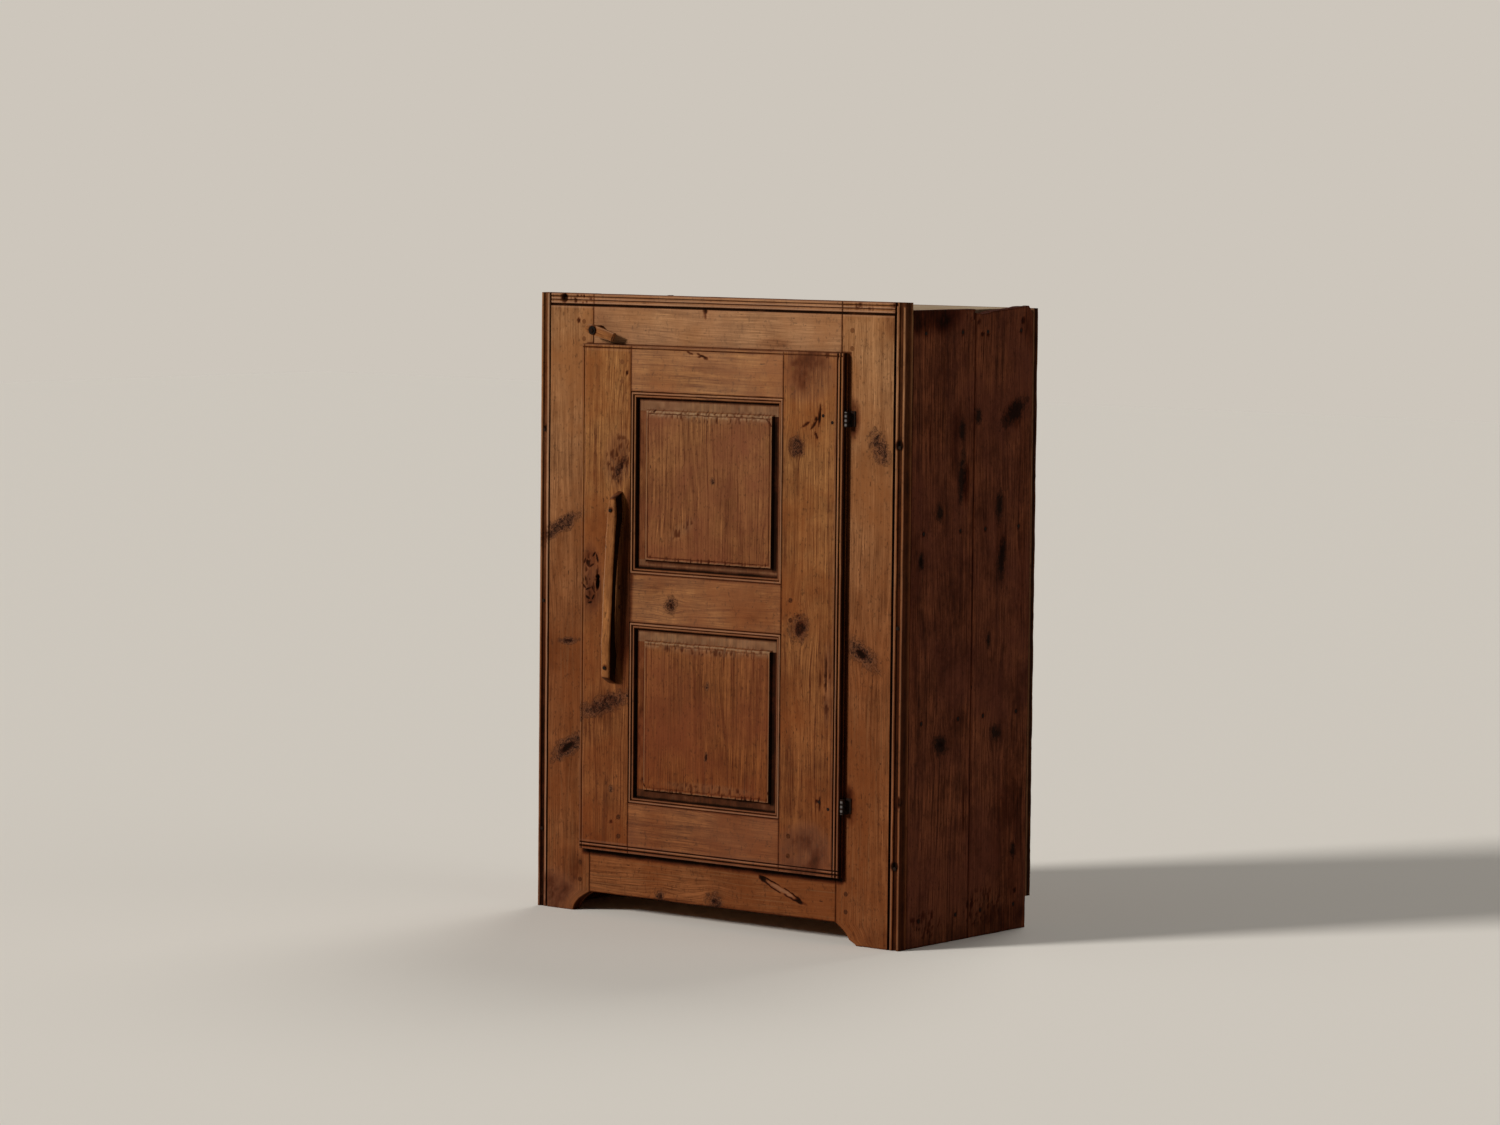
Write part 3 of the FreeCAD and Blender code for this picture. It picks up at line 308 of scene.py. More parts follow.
def board(name, facing, low, high, *, seed, carve=None, hollow=None, shape=None, across=(), along=(),
          knots=(), dents=(), scars=(), smudges=(), rings=(), step=2.4, arris=ARRIS, dusty=0.0,
          edge_dirt_and_shade=0.25):
    """One board between two corners. carve(x, z) gives the moulding's depth, its darkening by
    soiling and painted shade and its paling by wear and painted highlight; hollow(x, z) is how far
    its inner face is cut back; shape moves the grid's points, for a sawn or waney outline. dusty is
    the grey film all over; the last keyword is the least darkening on its edge faces, soiling and
    painted shade."""
    i, j, k, way = FACING[facing]
    face = max(way * low[k], way * high[k])
    depth = abs(high[k] - low[k])
    rows = grid_lines(low[i], high[i], step * MM, arris, across)
    columns = grid_lines(low[j], high[j], step * MM * 1.15, arris, along)
    a, b = np.meshgrid(rows, columns, indexing="ij")
    x_z = (b, a) if facing == "front_level" else (a, b)
    edges = [(a - low[i], b), (high[i] - a, b), (b - low[j], a), (high[j] - b, a)]
    sunk, dirt = worn_edges(edges, arris, seed)
    worn = dusty * (0.4 + 0.6 * positive(seed + 34, a / (30 * MM), b / (50 * MM)))
    if carve:
        more, grime_and_shade, polish_and_highlight = carve(*x_z)
        sunk, dirt, worn = np.maximum(sunk, more), np.maximum(dirt, grime_and_shade), np.maximum(worn, polish_and_highlight)
    for number, (height, wide, long) in enumerate(PLANED):
        sunk = sunk + height * MM * positive(seed * 5 + number, a / (wide * MM), b / (long * MM))
    more, grime_and_shade, polish_and_highlight = marked(a, b, seed, dents, scars, smudges, rings)
    sunk, dirt, worn = sunk + more, np.maximum(dirt, grime_and_shade), np.maximum(worn, polish_and_highlight)
    near, flow = knotted(a, b, knots)
    shift = 0.37 * seed
    moved_a, moved_b = shape(a, b) if shape else (a, b)
    sway = SWAY * noise(seed + 11, moved_b / (45 * MM))
    for distance, sign in ((a - low[i], 1), (high[i] - a, -1)):
        moved_a = moved_a + sign * np.abs(sway) * (1 - ease(0, 6 * MM, distance))
    outer = placed(facing, moved_a, moved_b, face - sunk)
    back = depth - (hollow(*x_z) if hollow else 0.0) - 0.5 * rounding_depth(
        np.minimum.reduce([edge[0] for edge in edges]), arris)
    inner = placed(facing, moved_a, moved_b, face - back)
    kept = []
    for lines, extra in ((rows, across), (columns, along)):
        wanted = set(range(0, len(lines), INNER_STEP)) | {0, 1, len(lines) - 2, len(lines) - 1}
        if hollow:
            wanted |= {int(np.argmin(abs(lines - place))) for place in extra}
        kept.append(np.array(sorted(wanted)))
    faces, ring = board_faces(*a.shape, *kept, np.linalg.det(placed(facing, *np.eye(3))) < 0)
    pick = np.ix_(*kept)
    middle = (outer.reshape(-1, 3)[ring] + inner.reshape(-1, 3)[ring]) / 2
    points = np.concatenate([outer.reshape(-1, 3), middle, inner[pick].reshape(-1, 3)])
    inner_count = len(kept[0]) * len(kept[1])

    def spread(values, on_wall, on_back, least=0.0):
        """One value for each vertex: the outer face's, the wall's and the inner face's."""
        return np.concatenate([values.ravel(), np.maximum(values.ravel()[ring] * on_wall, least),
                               np.full(inner_count, on_back)])

    grain = np.stack([
        np.concatenate([flow.ravel(), moved_a.ravel()[ring], moved_a[pick].ravel()]) + shift,
        np.concatenate([np.zeros(a.size), np.full(len(ring), depth / 2), np.full(inner_count, depth)]),
        np.concatenate([b.ravel(), b.ravel()[ring], b[pick].ravel()]) + 2 * shift,
    ], -1)
    SHELLS.setdefault(name, []).append((points, faces, grain, spread(near, 0.4, 0.0),
                                        spread(dirt, 0.6, 0.15, edge_dirt_and_shade), spread(worn, 0.5, 0.0)))


print("ways a board can face so far:", ", ".join(FACING))


# %% Join shells into a piece
def piece(name, material, body):
    """Join a piece's shells into one object that rides on a body and stands for its CAD node."""
    shells = SHELLS[name]
    starts = np.cumsum([0] + [len(shell[0]) for shell in shells])
    points = np.concatenate([shell[0] for shell in shells])
    faces = [face + start for shell, start in zip(shells, starts) for face in shell[1]]
    mesh = bpy.data.meshes.new(name)
    lengths = np.array([len(face) for face in faces])
    mesh.vertices.add(len(points))
    mesh.vertices.foreach_set("co", points.astype(np.float32).ravel())
    mesh.loops.add(int(lengths.sum()))
    mesh.polygons.add(len(faces))
    mesh.polygons.foreach_set("loop_start", np.concatenate([[0], np.cumsum(lengths)[:-1]]))
    mesh.polygons.foreach_set("vertices", np.concatenate(faces).astype(np.int32))
    mesh.update(calc_edges=True)
    grain = mesh.attributes.new("grain", "FLOAT_VECTOR", "POINT")
    grain.data.foreach_set("vector", np.concatenate([shell[2] for shell in shells])
                           .astype(np.float32).ravel())
    for place, value in ((3, "knot"), (4, "dirt"), (5, "worn")):
        made = mesh.attributes.new(value, "FLOAT", "POINT")
        made.data.foreach_set("value", np.concatenate([shell[place] for shell in shells])
                              .astype(np.float32))
    mesh.shade_smooth()
    mesh.set_sharp_from_angle(angle=math.radians(38))
    mesh.materials.append(material)
    made = bpy.data.objects.new(name, mesh)
    bpy.context.scene.collection.objects.link(made)
    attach(made, body)
    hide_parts(name)
    print(f"{name}: {len(points)} points, {len(faces)} faces")


print("each point carries: grain, knot, dirt, worn")

# %% [markdown]
# ## Pine, old and varnished
# Scots pine has bands of hard, orange latewood between bands of soft, pale earlywood. A hundred
# years of varnish, hands and smoke turn it honey brown, darkest in the corners that no cloth
# reaches. A flat picture of planks would repeat, so the wood is worked out at each point: growth
# rings about 2 mm apart round a pith behind the face, and streaks and fibres that are noise
# stretched along the board. The values that each point carries add the knots, the dirt with
# painted shade, and the rubbed arrises with painted highlights.

# %% Noises of the wood
NOISES = (  # name, what it follows, how often a metre holds it each way, scale, detail, roughness
    ("wander", "grain", (9, 9, 1.6), 1, 2, 0.5), ("streak", "grain", (480, 480, 6), 1, 3, 0.6),
    ("fibre", "grain", (1100, 1100, 30), 1, 2, 0.55), ("line", "grain", (400, 400, 6), 1, 2, 0.5),
    ("nick", "grain", (330, 330, 80), 1, 1, 0.4), ("stain", "place", (1, 1, 1), 7, 5, 0.65),
    ("patch", "place", (1, 1, 0.7), 17, 6, 0.75), ("blot", "place", (1, 1, 1), 30, 5, 0.68),
    ("rag", "place", (1, 1, 1), 120, 3, 0.7), ("speck", "place", (1, 1, 0.6), 250, 3, 0.6),
    ("crumb", "place", (1, 1, 1), 300, 2, 0.5))


def wood_noises(node, grain, place):
    """The wood's noises by name, stretched along the grain or the height of the cupboard."""
    noises = {}
    for name, follows, stretch, scale, detail, roughness in NOISES:
        vector = {"grain": grain, "place": place}[follows]
        if stretch != (1, 1, 1):
            vector = node("Mapping", {"Vector": vector, "Scale": stretch})
        noises[name] = node("TexNoise", [vector, scale, detail, roughness])
    return noises


def summed(node, *shares):
    """The sum of noises, each brought between a least and a greatest share."""
    total = None
    for cloud, least, most in shares:
        share = node("MapRange", [cloud, 0.3, 0.7, least, most])
        total = share if total is None else node("Math", [total, share], PLUS)
    return total


print("noises of the wood:", len(NOISES))

# %% Growth rings and knots
PITH_DEPTH, PITH_SPACING, RINGS_PER_METRE = 0.05, 0.11, 520.0


def growth_rings(node, grain, wander):
    """Noise of the distance to the nearest pith, sqrt(aside² + behind²), where the piths lie 50 mm
    behind the face, 220 mm apart, and wander up to 35 mm to either side."""
    aside = node("SeparateXYZ", [grain], output="X")
    aside = node("Math", [aside, node("MapRange", [wander, 0.2, 0.8, -0.035, 0.035])], PLUS)
    aside = node("Math", [node("Math", [aside, PITH_SPACING], {"operation": "PINGPONG"}), 0.045], MINUS)
    behind = node("Math", [node("SeparateXYZ", [grain], output="Y"), PITH_DEPTH], PLUS)
    squares = [node("Math", [value, value], TIMES) for value in (aside, behind)]
    radius = node("Math", [node("Math", squares, PLUS), 0.5], {"operation": "POWER"})
    return node("TexNoise", [radius, RINGS_PER_METRE, 2.0, 0.6], ONE_WAY)


def knot_wood(node, knot, noises, heart):
    """How near a point is to a knot, made ragged along the grain, with the colour of its heart and
    the share of dark in its whorls and crumbs."""
    feather = summed(node, (noises["streak"], -0.08, 0.08), (noises["fibre"], -0.05, 0.05),
                     (noises["blot"], -0.16, 0.16), (noises["rag"], -0.14, 0.14))
    feather = node("Math", [feather, node("MapRange", [knot, 0.0, 0.25])], TIMES)
    ragged = node("Math", [knot, feather], PLUS)
    whorl = node("TexNoise", [ragged, 9.0, 2.0, 0.6], ONE_WAY)
    core = node("Mix", [node("MapRange", [whorl, 0.62, 0.4]), *map(colour, heart)], RGBA)
    dark = [node("Math", [node("MapRange", [cloud, *limits]), node("MapRange", [ragged, *near])], TIMES)
            for cloud, limits, near in ((whorl, (0.5, 0.57), (0.42, 0.62)),
                                        (noises["crumb"], (0.56, 0.62), (0.5, 0.7)))]
    return ragged, core, node("Math", dark, {"operation": "MAXIMUM"})


print("growth rings, mm apart:", round(1 / RINGS_PER_METRE / MM, 1))

# %% The pine material
WHITE, RESIN = colour("#FFFFFF"), colour("#22120A")


def pine(name, early, late, ruddy, low="#FFFFFF", rise=(0.1, 0.86), rough=(0.5, 0.7), relief=0.32,
         rub_and_highlight="#A88266", patches=0.3, heart=("#2A140A", "#5E3A26"), gloss=0.02):
    """Old varnished pine. early and late are the two bands' colours and ruddy the stains between;
    low tints the foot of the cupboard and fades out over the heights in rise, in metres. The pale
    colour given is that of wood polished by hands and of painted highlights, relief the grain's
    height in millimetres."""
    material, tree, principled, node = start_material(name)
    grain = node("Attribute", (), {"attribute_name": "grain"}, "Vector")
    knot, dirt, worn = (node("Attribute", (), {"attribute_name": value}, "Fac")
                        for value in ("knot", "dirt", "worn"))
    place = node("TexCoord", output="Object")
    up = node("SeparateXYZ", [place], output="Z")
    noises = wood_noises(node, grain, place)
    streak, fibre, blot = noises["streak"], noises["fibre"], noises["blot"]
    ring = growth_rings(node, grain, noises["wander"])
    wood = node("ValToRGB", [summed(node, (ring, 0.0, 0.36), (streak, 0.05, 0.59),
                                    (fibre, -0.28, 0.28), (blot, -0.16, 0.16))])
    for element, position, code in zip(wood.node.color_ramp.elements, (0.1, 0.9), (late, early)):
        element.position, element.color = position, colour(code)

    shade = node("Mix", [node("MapRange", [noises["patch"], 0.45, 0.66]), WHITE, colour("#8E7C70")], RGBA)
    tint = node("Mix", [node("MapRange", [up, *rise]), colour(low), WHITE], RGBA)
    line = node("Math", [node("MapRange", [noises["line"], 0.55, 0.66]),
                         node("MapRange", [up, 0.1, 0.7, 0.55, 0.3])], TIMES)
    nick = node("Math", [node("MapRange", [noises["nick"], 0.68, 0.73]),
                         node("MapRange", [blot, 0.45, 0.6])], TIMES)
    ragged, core, crack = knot_wood(node, knot, noises, heart)
    grime_and_shade = node("Math", [dirt, node("MapRange", [blot, 0.32, 0.68, 0.7, 1.2])], TIMES)
    for share, over, way in (  # layers over the bands: share, colour and how it mixes
            (node("MapRange", [noises["stain"], 0.42, 0.62, 0.0, 0.85]), colour(ruddy), "MIX"),
            (patches, shade, "MULTIPLY"),
            (1.0, tint, "MULTIPLY"),
            (line, colour(late), "MIX"),
            (node("MapRange", [noises["speck"], 0.57, 0.72, 0.0, 0.5]), RESIN, "MIX"),
            (node("Math", [nick, 0.75], TIMES), RESIN, "MIX"),
            # wear and painted highlight, in the pale colour
            (node("MapRange", [worn, 0.0, 1.0, 0.0, 0.8]), colour(rub_and_highlight), "MIX"),
            (node("MapRange", [ragged, 0.34, 0.74, 0.0, 0.9]), core, "MIX"),
            (node("Math", [crack, 0.9], TIMES), colour("#190C06"), "MIX"),
            # grime and painted shade: reddened first, then taken toward near black
            (node("MapRange", [grime_and_shade, 0.02, 0.55, 0.0, 0.75]), colour("#BE8468"), "MULTIPLY"),
            (node("MapRange", [grime_and_shade, 0.1, 0.98, 0.0, 0.96]), colour("#100703"), "MIX")):
        wood = node("Mix", [share, wood, over], {**RGBA, "blend_type": way})
    matte = node("Math", [node("MapRange", [streak, 0.3, 0.7, rough[1], rough[0]]),
                          node("Math", [grime_and_shade, 0.25], TIMES)], PLUS)
    fine = node("Math", [node("Math", [fibre, 0.4], TIMES), nick], MINUS)
    height = node("Math", [node("Math", [streak, 0.6], TIMES), fine], PLUS)
    bump = node("Bump", {"Strength": 0.6, "Distance": relief * MM, "Height": height})
    wire(tree, principled, {"Base Color": wood, "Roughness": matte, "Specular IOR Level": gloss,
                            "Normal": bump})
    return material


# %% The cupboard's pine finishes
FRAME_PINE = pine("old pine, planed and varnished", "#A77950", "#664227", "#83542F", low="#C4A694",
                  rise=(0.38, 0.9))
DOOR_PINE = pine("old pine, door frame", "#A27141", "#522C17", "#7B4823", low="#CFB6AF", rise=(0.2, 0.88))
PANEL_PINE = pine("old pine, raised panels", "#8E613B", "#4F2C19", "#6F422B", low="#DBB28E", rub_and_highlight="#94795A")
SIDE_PINE = pine("old pine, dry side boards", "#83492E", "#2F140B", "#582D1F", rough=(0.6, 0.8),
                 rub_and_highlight="#6A4630", patches=0.7, heart=("#0A0402", "#1A0C07"))
TOP_PINE = pine("dusty pine, top boards", "#8A6A4C", "#5A3C28", "#6E5038", rough=(0.75, 0.9), rub_and_highlight="#B7A588")
INSIDE_PINE = pine("bare pine, aged inside", "#B48657", "#8C5F37", "#A4744A", rough=(0.65, 0.8), gloss=0.04)
BACK_PINE = pine("rough-sawn pine, back boards", "#92694A", "#60422D", "#7A553A", rough=(0.7, 0.85),
                 relief=0.6)
print("pine finishes:", ", ".join(material.name for material in bpy.data.materials))

# %% [markdown]
# ## The face frame
# The frame's outer edge carries two scratched beads with a hollow between them and a quirk, a
# narrow groove, that parts them from the flat. The upright mouldings run to the top and the
# level one stops against them. Dirt settles in the hollow and the quirk; hands rub the beads. A
# profile could be swept along each edge, but a depth that follows from the distance to the edge
# keeps board and moulding one skin, so the same grain runs through both.

# %% Mouldings
def box_of(node):
    """A node's lowest and highest corners as arrays."""
    low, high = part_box(node)
    return np.array(low), np.array(high)


UPRIGHT_BEADS = [(0.0, 5.0, "bead"), (5.0, 11.0, "hollow"), (11.0, 16.5, "bead"),
                 (16.5, 19.5, "quirk")]
LEVEL_BEADS = [(0.0, 4.8, "bead"), (4.8, 9.6, "bead"), (9.6, 15.6, "bead"), (15.6, 18.5, "quirk")]
ONE_BEAD = [(0.0, 4.0, "bead"), (4.0, 5.4, "quirk")]
TWO_BEADS = ONE_BEAD + [(5.4, 9.4, "bead"), (9.4, 10.8, "quirk")]
FRAME_DEPTHS = (2.75, 0.9, 3.6)   # of the beads' feet, of the hollow below them, of the quirk
DOOR_DEPTHS = (1.8, 0.0, 2.2)


def moulded(distance, members, depths, seed, along):
    """Depth and darkening of a moulding, and its paling, at a distance from the board's edge: a
    bead is a half oval, 1 - sqrt(1 - t²) of its height; a hollow a parabola below it; a quirk a V.
    Soiling and painted shade darken the beads' flanks, the hollow, the quirk and the strip past the
    moulding; a painted highlight lies on each bead's lit side and on the arris past the moulding."""
    foot, sag, cut = (value * MM for value in depths)
    depth, dirt, rub_and_highlight = (np.zeros_like(distance) for _ in range(3))
    for start, end, kind in members:
        inside = (distance >= start * MM) & (distance < end * MM)
        t = (2 * distance / MM - start - end) / (end - start)
        if kind == "bead":
            form = foot * (1 - np.sqrt(np.clip(1 - t * t, 0, 1)))
            flat = 0.3 * foot * positive(seed, along / (30 * MM), distance / (4 * MM))
            form = np.maximum(form, flat)
            grime_and_shade = 0.12 + 0.55 * ease(0.5, 1.0, abs(t))
            # painted highlight, off the bead's crest toward its lit side
            painted_highlight = 0.7 * np.exp(-((t - (0.3 if start else -0.5)) / 0.4) ** 2)
        elif kind == "hollow":
            form, grime_and_shade, painted_highlight = foot + sag * (1 - t * t), 0.62 + 0.2 * (1 - t * t), 0 * t
        else:
            form = np.where(t < 0, foot + (cut - foot) * (t + 1), cut * (1 - t))
            grime_and_shade, painted_highlight = 1.1 - 0.3 * ease(0.5, 1.0, t), 0 * t
        depth, dirt = np.where(inside, form, depth), np.where(inside, grime_and_shade, dirt)
        rub_and_highlight = np.where(inside, painted_highlight, rub_and_highlight)
    edge = members[-1][1] * MM
    beside = (distance >= edge) & (distance < edge + 2.5 * MM)
    dirt = np.where(beside, 0.35 * (1 - ease(edge, edge + 1.2 * MM, distance)), dirt)
    # painted highlight on the arris just past the moulding
    lit = ease(edge + 0.4 * MM, edge + 1.1 * MM, distance) * (0.5 if depths is FRAME_DEPTHS else 0.2)
    rub_and_highlight = np.where(beside, lit, rub_and_highlight)
    return depth, dirt, rub_and_highlight


def moulding_lines(edge, toward, members):
    """Grid lines 0.45 mm apart and at the members' ends, from an edge into the board."""
    places = np.arange(0, members[-1][1], 0.45)
    corners = np.array([end for member in members for end in member[:2]])
    return edge + toward * np.concatenate([places, corners, corners + 0.12]) * MM


MEMBERS = {"frame, upright": UPRIGHT_BEADS, "frame, level": LEVEL_BEADS, "door": TWO_BEADS}
print("mouldings, mm wide:", {name: members[-1][1] for name, members in MEMBERS.items()})

# %% Places that the mouldings and marks are measured from
(LEFT, FRAME_FRONT, _), (OPENING_LEFT, FRAME_BACK, TOP) = box_of("frame_stile_left")
OPENING_RIGHT, RIGHT = (corner[0] for corner in box_of("frame_stile_right"))
RAIL_FOOT, OPENING_BOTTOM = (corner[2] for corner in box_of("frame_rail_bottom"))
OPENING_TOP = box_of("frame_rail_top")[0][2]
(DOOR_LEFT, DOOR_FRONT, DOOR_BOTTOM), (_, DOOR_BACK, DOOR_TOP) = box_of("door_stile_left")
DOOR_RIGHT = box_of("door_stile_right")[1][0]
BAND = UPRIGHT_BEADS[-1][1] * MM
print("opening, mm:", round((OPENING_RIGHT - OPENING_LEFT) / MM), "by",
      round((OPENING_TOP - OPENING_BOTTOM) / MM))
print("door, mm:", round((DOOR_RIGHT - DOOR_LEFT) / MM), "by", round((DOOR_TOP - DOOR_BOTTOM) / MM))

# %% The frame's moulding and the painted shadow round the door
# widths of the painted shadow beside and below the door, which also stands for some grime
SHADOW_RIGHT, SHADOW_FOOT = 5.5 * MM, 13 * MM     # widths beside and below the door
QUIRK = UPRIGHT_BEADS[-1][0] * MM


def frame_mould(x, z):
    """The frame's moulding at a point: the upright one near a side edge, else the top one. The
    right one carries less wear and painted highlight, and the left one is cleaner above hand height.
    A painted shadow, with some soiling, lies round the door's edge, widest at its right and its foot."""
    side = np.minimum(x - LEFT, RIGHT - x)
    upright = moulded(side, UPRIGHT_BEADS, FRAME_DEPTHS, 3, z)
    level = moulded(TOP - z, LEVEL_BEADS, FRAME_DEPTHS, 4, x)
    depth, dirt, rub_and_highlight = (np.where(side < BAND, one, other) for one, other in zip(upright, level))
    # the right-hand moulding faces away from the key light, so its painted highlight is weaker
    rub_and_highlight = rub_and_highlight * np.where(RIGHT - x < BAND, 0.4, 1.0)
    cleaner = 0.6 + 0.7 * (1 - ease(220 * MM, 480 * MM, z))
    dirt = dirt * np.where(x - LEFT < QUIRK, cleaner, 1.0)
    # painted shadow, with some grime, round the door's lip: widest at its right edge and its foot
    past_door = np.maximum.reduce([4 * (DOOR_LEFT - x), x - DOOR_RIGHT, 4 * (z - DOOR_TOP),
                                   DOOR_BOTTOM - z])
    at_foot = (1 - ease(3.5 * MM, SHADOW_FOOT, DOOR_BOTTOM - z)) * (z < DOOR_BOTTOM)
    at_foot = at_foot * (1 - ease(-2 * MM, 6 * MM, np.maximum(DOOR_LEFT - x, x - DOOR_RIGHT)))
    past_door = np.maximum(0.8 * np.exp(-(past_door / SHADOW_RIGHT) ** 4), 1.1 * at_foot)
    return depth, np.maximum(dirt, past_door), rub_and_highlight


print("moulding 8 mm in from the left, mm deep:",
      round(float(frame_mould(np.array([LEFT + 8 * MM]), np.array([0.5]))[0][0] / MM), 2))


# %% Marks of age on the frame, from the cupboard's left edge and the floor
def from_left(*marks):
    """Marks whose first number is measured from the cupboard's left edge."""
    return [(mark[0] + LEFT / MM, *mark[1:]) for mark in marks]


# in mm: across, up, half width, half length, degrees of tilt, depth and dirt (smudges: dirt, film);
# a few darkenings are painted shadow, noted where they stand
FRAME_MARKS = {
    "knots": from_left(
        (40, 561, 7.0, 29, 61), (54, 394, 3.6, 13, 84), (56, 238, 8.5, 24, 56),
        (618, 700, 9, 17, -28), (590, 410, 9.5, 21, -58), (334, 38, 9, 10, 0), (233, 35, 6, 7, 0)),
    "dents": from_left(
        (44, 893, 6.5, 7.5, 0, 6.0, 1.0), (306, 880, 4.0, 4.5, 0, 3.0, 0.95),
        (306, 873, 1.8, 6.0, 0, 0.8, 0.6), (72, 861, 3.2, 3.4, 0, 0.7, 0.8),
        (455, 66, 4.6, 39, -69, 2.0, 0.0), (421, 79, 5, 4, 0, 1.5, 1.1), (486, 53, 7, 3, 20, 1.2, 1.0),
        (590, 410, 4.4, 9, -58, 1.4, 1.3), (334, 38, 4, 4, 0, 0.8, 0.6),
        (54, 394, 1.4, 9, 84, 0.5, 0.9), (56, 238, 4.5, 15, 56, 0.5, 0.9),
        (233, 35, 3, 3, 0, 0.6, 0.8), (651.5, 703, 7.0, 7.6, 0, 0.9, 1.3),
        (651.5, 118, 6.4, 7.0, 0, 0.9, 1.3), (658, 208, 3.4, 8, 0, 1.6, 1.0),
        (659, 899, 5, 6, 0, 1.8, 0.8), (8.5, 703, 3.6, 4.6, 0, 0.4, 1.0),
        (8.5, 118, 3.6, 4.6, 0, 0.4, 1.0)),
    "scars": from_left((75, 892, 26, 8, 0, 1.5, 0.85), (590, 893, 28, 8, 0, 1.0, 0.7),
                       (20, 20, 20, 26, 0, 1.0, 0.7), (642, 893, 7, 10, 0, 1.6, 0.8)),
    "smudges": from_left(
        (25, 8, 70, 55, 0, 0.95, 0.4), (62, 60, 40, 40, 0, 0.45), (325, 26, 12, 260, 90, 0.55),
        (113, 848, 30, 30, 0, 0.25), (432, 838, 9, 40, 90, 0.4), (640, 880, 22, 40, 0, 0.45),
        # (571, 737) and (571, 196): painted shadow, with some grime, round the hinges right of the door
        (8, 560, 8, 60, 0, 0.4), (620, 12, 60, 25, 0, 0.3), (571, 737, 16, 34, 0, 1.3),
        (571, 196, 16, 34, 0, 1.2), (560, 90, 30, 14, 0, 0.3), (24, 330, 30, 110, 0, 0.16),
        (30, 190, 34, 90, 0, 0.16), (5, 150, 8, 190, 0, 0.6), (200, 96, 9, 110, 90, 0.3)),
    "rings": from_left((455, 66, 4.4, 38, -69, 0.4, 1.1))}


def marks_on(marks, low, high, level=False):
    """The marks of each kind that reach a board, in the board's own order of across and along."""
    found = {}
    for kind, group in marks.items():
        found[kind] = []
        for x, z, wide, long, tilt, *rest in group:
            reach = 3 * max(wide, long) * MM
            if low[0] - reach < x * MM < high[0] + reach and low[2] - reach < z * MM < high[2] + reach:
                placing = (z, x, wide, long, 90 - tilt) if level else (x, z, wide, long, tilt)
                found[kind].append((*placing, *rest))
    return found


print("marks on the frame:", {kind: len(group) for kind, group in FRAME_MARKS.items()})

# %% The frame's stiles
def foot_shape(edge, inward, wide, full, hook):
    """The sawn foot: below the rail the stile narrows from its full width to the toe's, along a
    parabola with a hooked toe, and the grid's columns past the moulding close up with it."""
    def shape(a, b):
        up = np.clip(b / RAIL_FOOT, 0, 1)
        width = wide + (full - wide) * ((1 - hook) * up ** 2 + hook * ease(0, 0.3, up))
        inside = (a - edge) * inward
        start = BAND + 6 * MM
        moved = start + (inside - start) * (width - start) / (full - start)
        return edge + inward * np.where(inside > start, moved, inside), b
    return shape


TOP_LINES = moulding_lines(TOP, -1, LEVEL_BEADS)
for side, edge, inward, toe, hook, seed in (("left", LEFT, 1, 69 * MM, 0.0, 5),
                                            ("right", RIGHT, -1, 74 * MM, 0.3, 8)):
    node = f"frame_stile_{side}"
    low, high = box_of(node)
    board(node, "front_upright", low, high, carve=frame_mould,
          shape=foot_shape(edge, inward, toe, high[0] - low[0], hook),
          across=moulding_lines(edge, inward, UPRIGHT_BEADS),
          along=np.concatenate([TOP_LINES, np.arange(0, 32, 1.5) * MM]),
          **marks_on(FRAME_MARKS, low, high), edge_dirt_and_shade=0.8, seed=seed)
    piece(node, FRAME_PINE, "carcass")

# %% The frame's rails, with lines close enough for the bottom one's gouge
for rail, across, along, dusty, seed in (
        ("top", TOP_LINES, (), 0.25, 12),
        ("bottom", np.arange(46, 88, 1.0) * MM, LEFT + np.arange(416, 495, 1.2) * MM, 0.0, 15)):
    node = f"frame_rail_{rail}"
    low, high = box_of(node)
    low[0], high[0], low[1], high[1] = OPENING_LEFT, OPENING_RIGHT, FRAME_FRONT, FRAME_BACK
    board(node, "front_level", low, high, carve=frame_mould, across=across, along=along,
          **marks_on(FRAME_MARKS, low, high, level=True), dusty=dusty, seed=seed)
    piece(node, FRAME_PINE, "carcass")

# %% [markdown]
# ## Sides, top, shelves and back
# Each side is two boards, and the rear one keeps a waney top edge, the tree's own outline. Nails
# through the sides hold the cleats that carry the shelves. Inside, the pine was never varnished.
# The waney edge could be cut from a straight board, but then the wall would lose its worn arris,
# so the grid's upper lines are lowered to the outline instead.

# %% The sides' outline and marks
WANEY = np.array([(0, 5.6), (15, 7.0), (60, 2.3), (129, -3.0), (140, 8.0)])  # from seam; drop
CREST = 3.0 * MM          # the outline's highest point above the front board
SIDE_TOP = box_of("side_board_right_front")[1][2]
SIDE_SEAM = box_of("side_board_right_rear")[0][1]
FACING["cleat_left"] = (2, 1, 0, 1)
FACING["cleat_right"] = (2, 1, 0, -1)


def waney_shape(a, b):
    """Lower the rear board's top edge to the tree's outline; the lines below it close up."""
    drop = np.interp((a - SIDE_SEAM) / MM, WANEY[:, 0], WANEY[:, 1]) * MM + CREST
    drop = np.clip(drop + 0.7 * MM * noise(41, a / (7 * MM)), 0, None)
    return a, b - drop * ease(SIDE_TOP + CREST - 70 * MM, SIDE_TOP + CREST, b)


def from_front(*marks):
    """Marks whose first number is measured back from the frame's front."""
    return [(mark[0] + FRAME_FRONT / MM, *mark[1:]) for mark in marks]


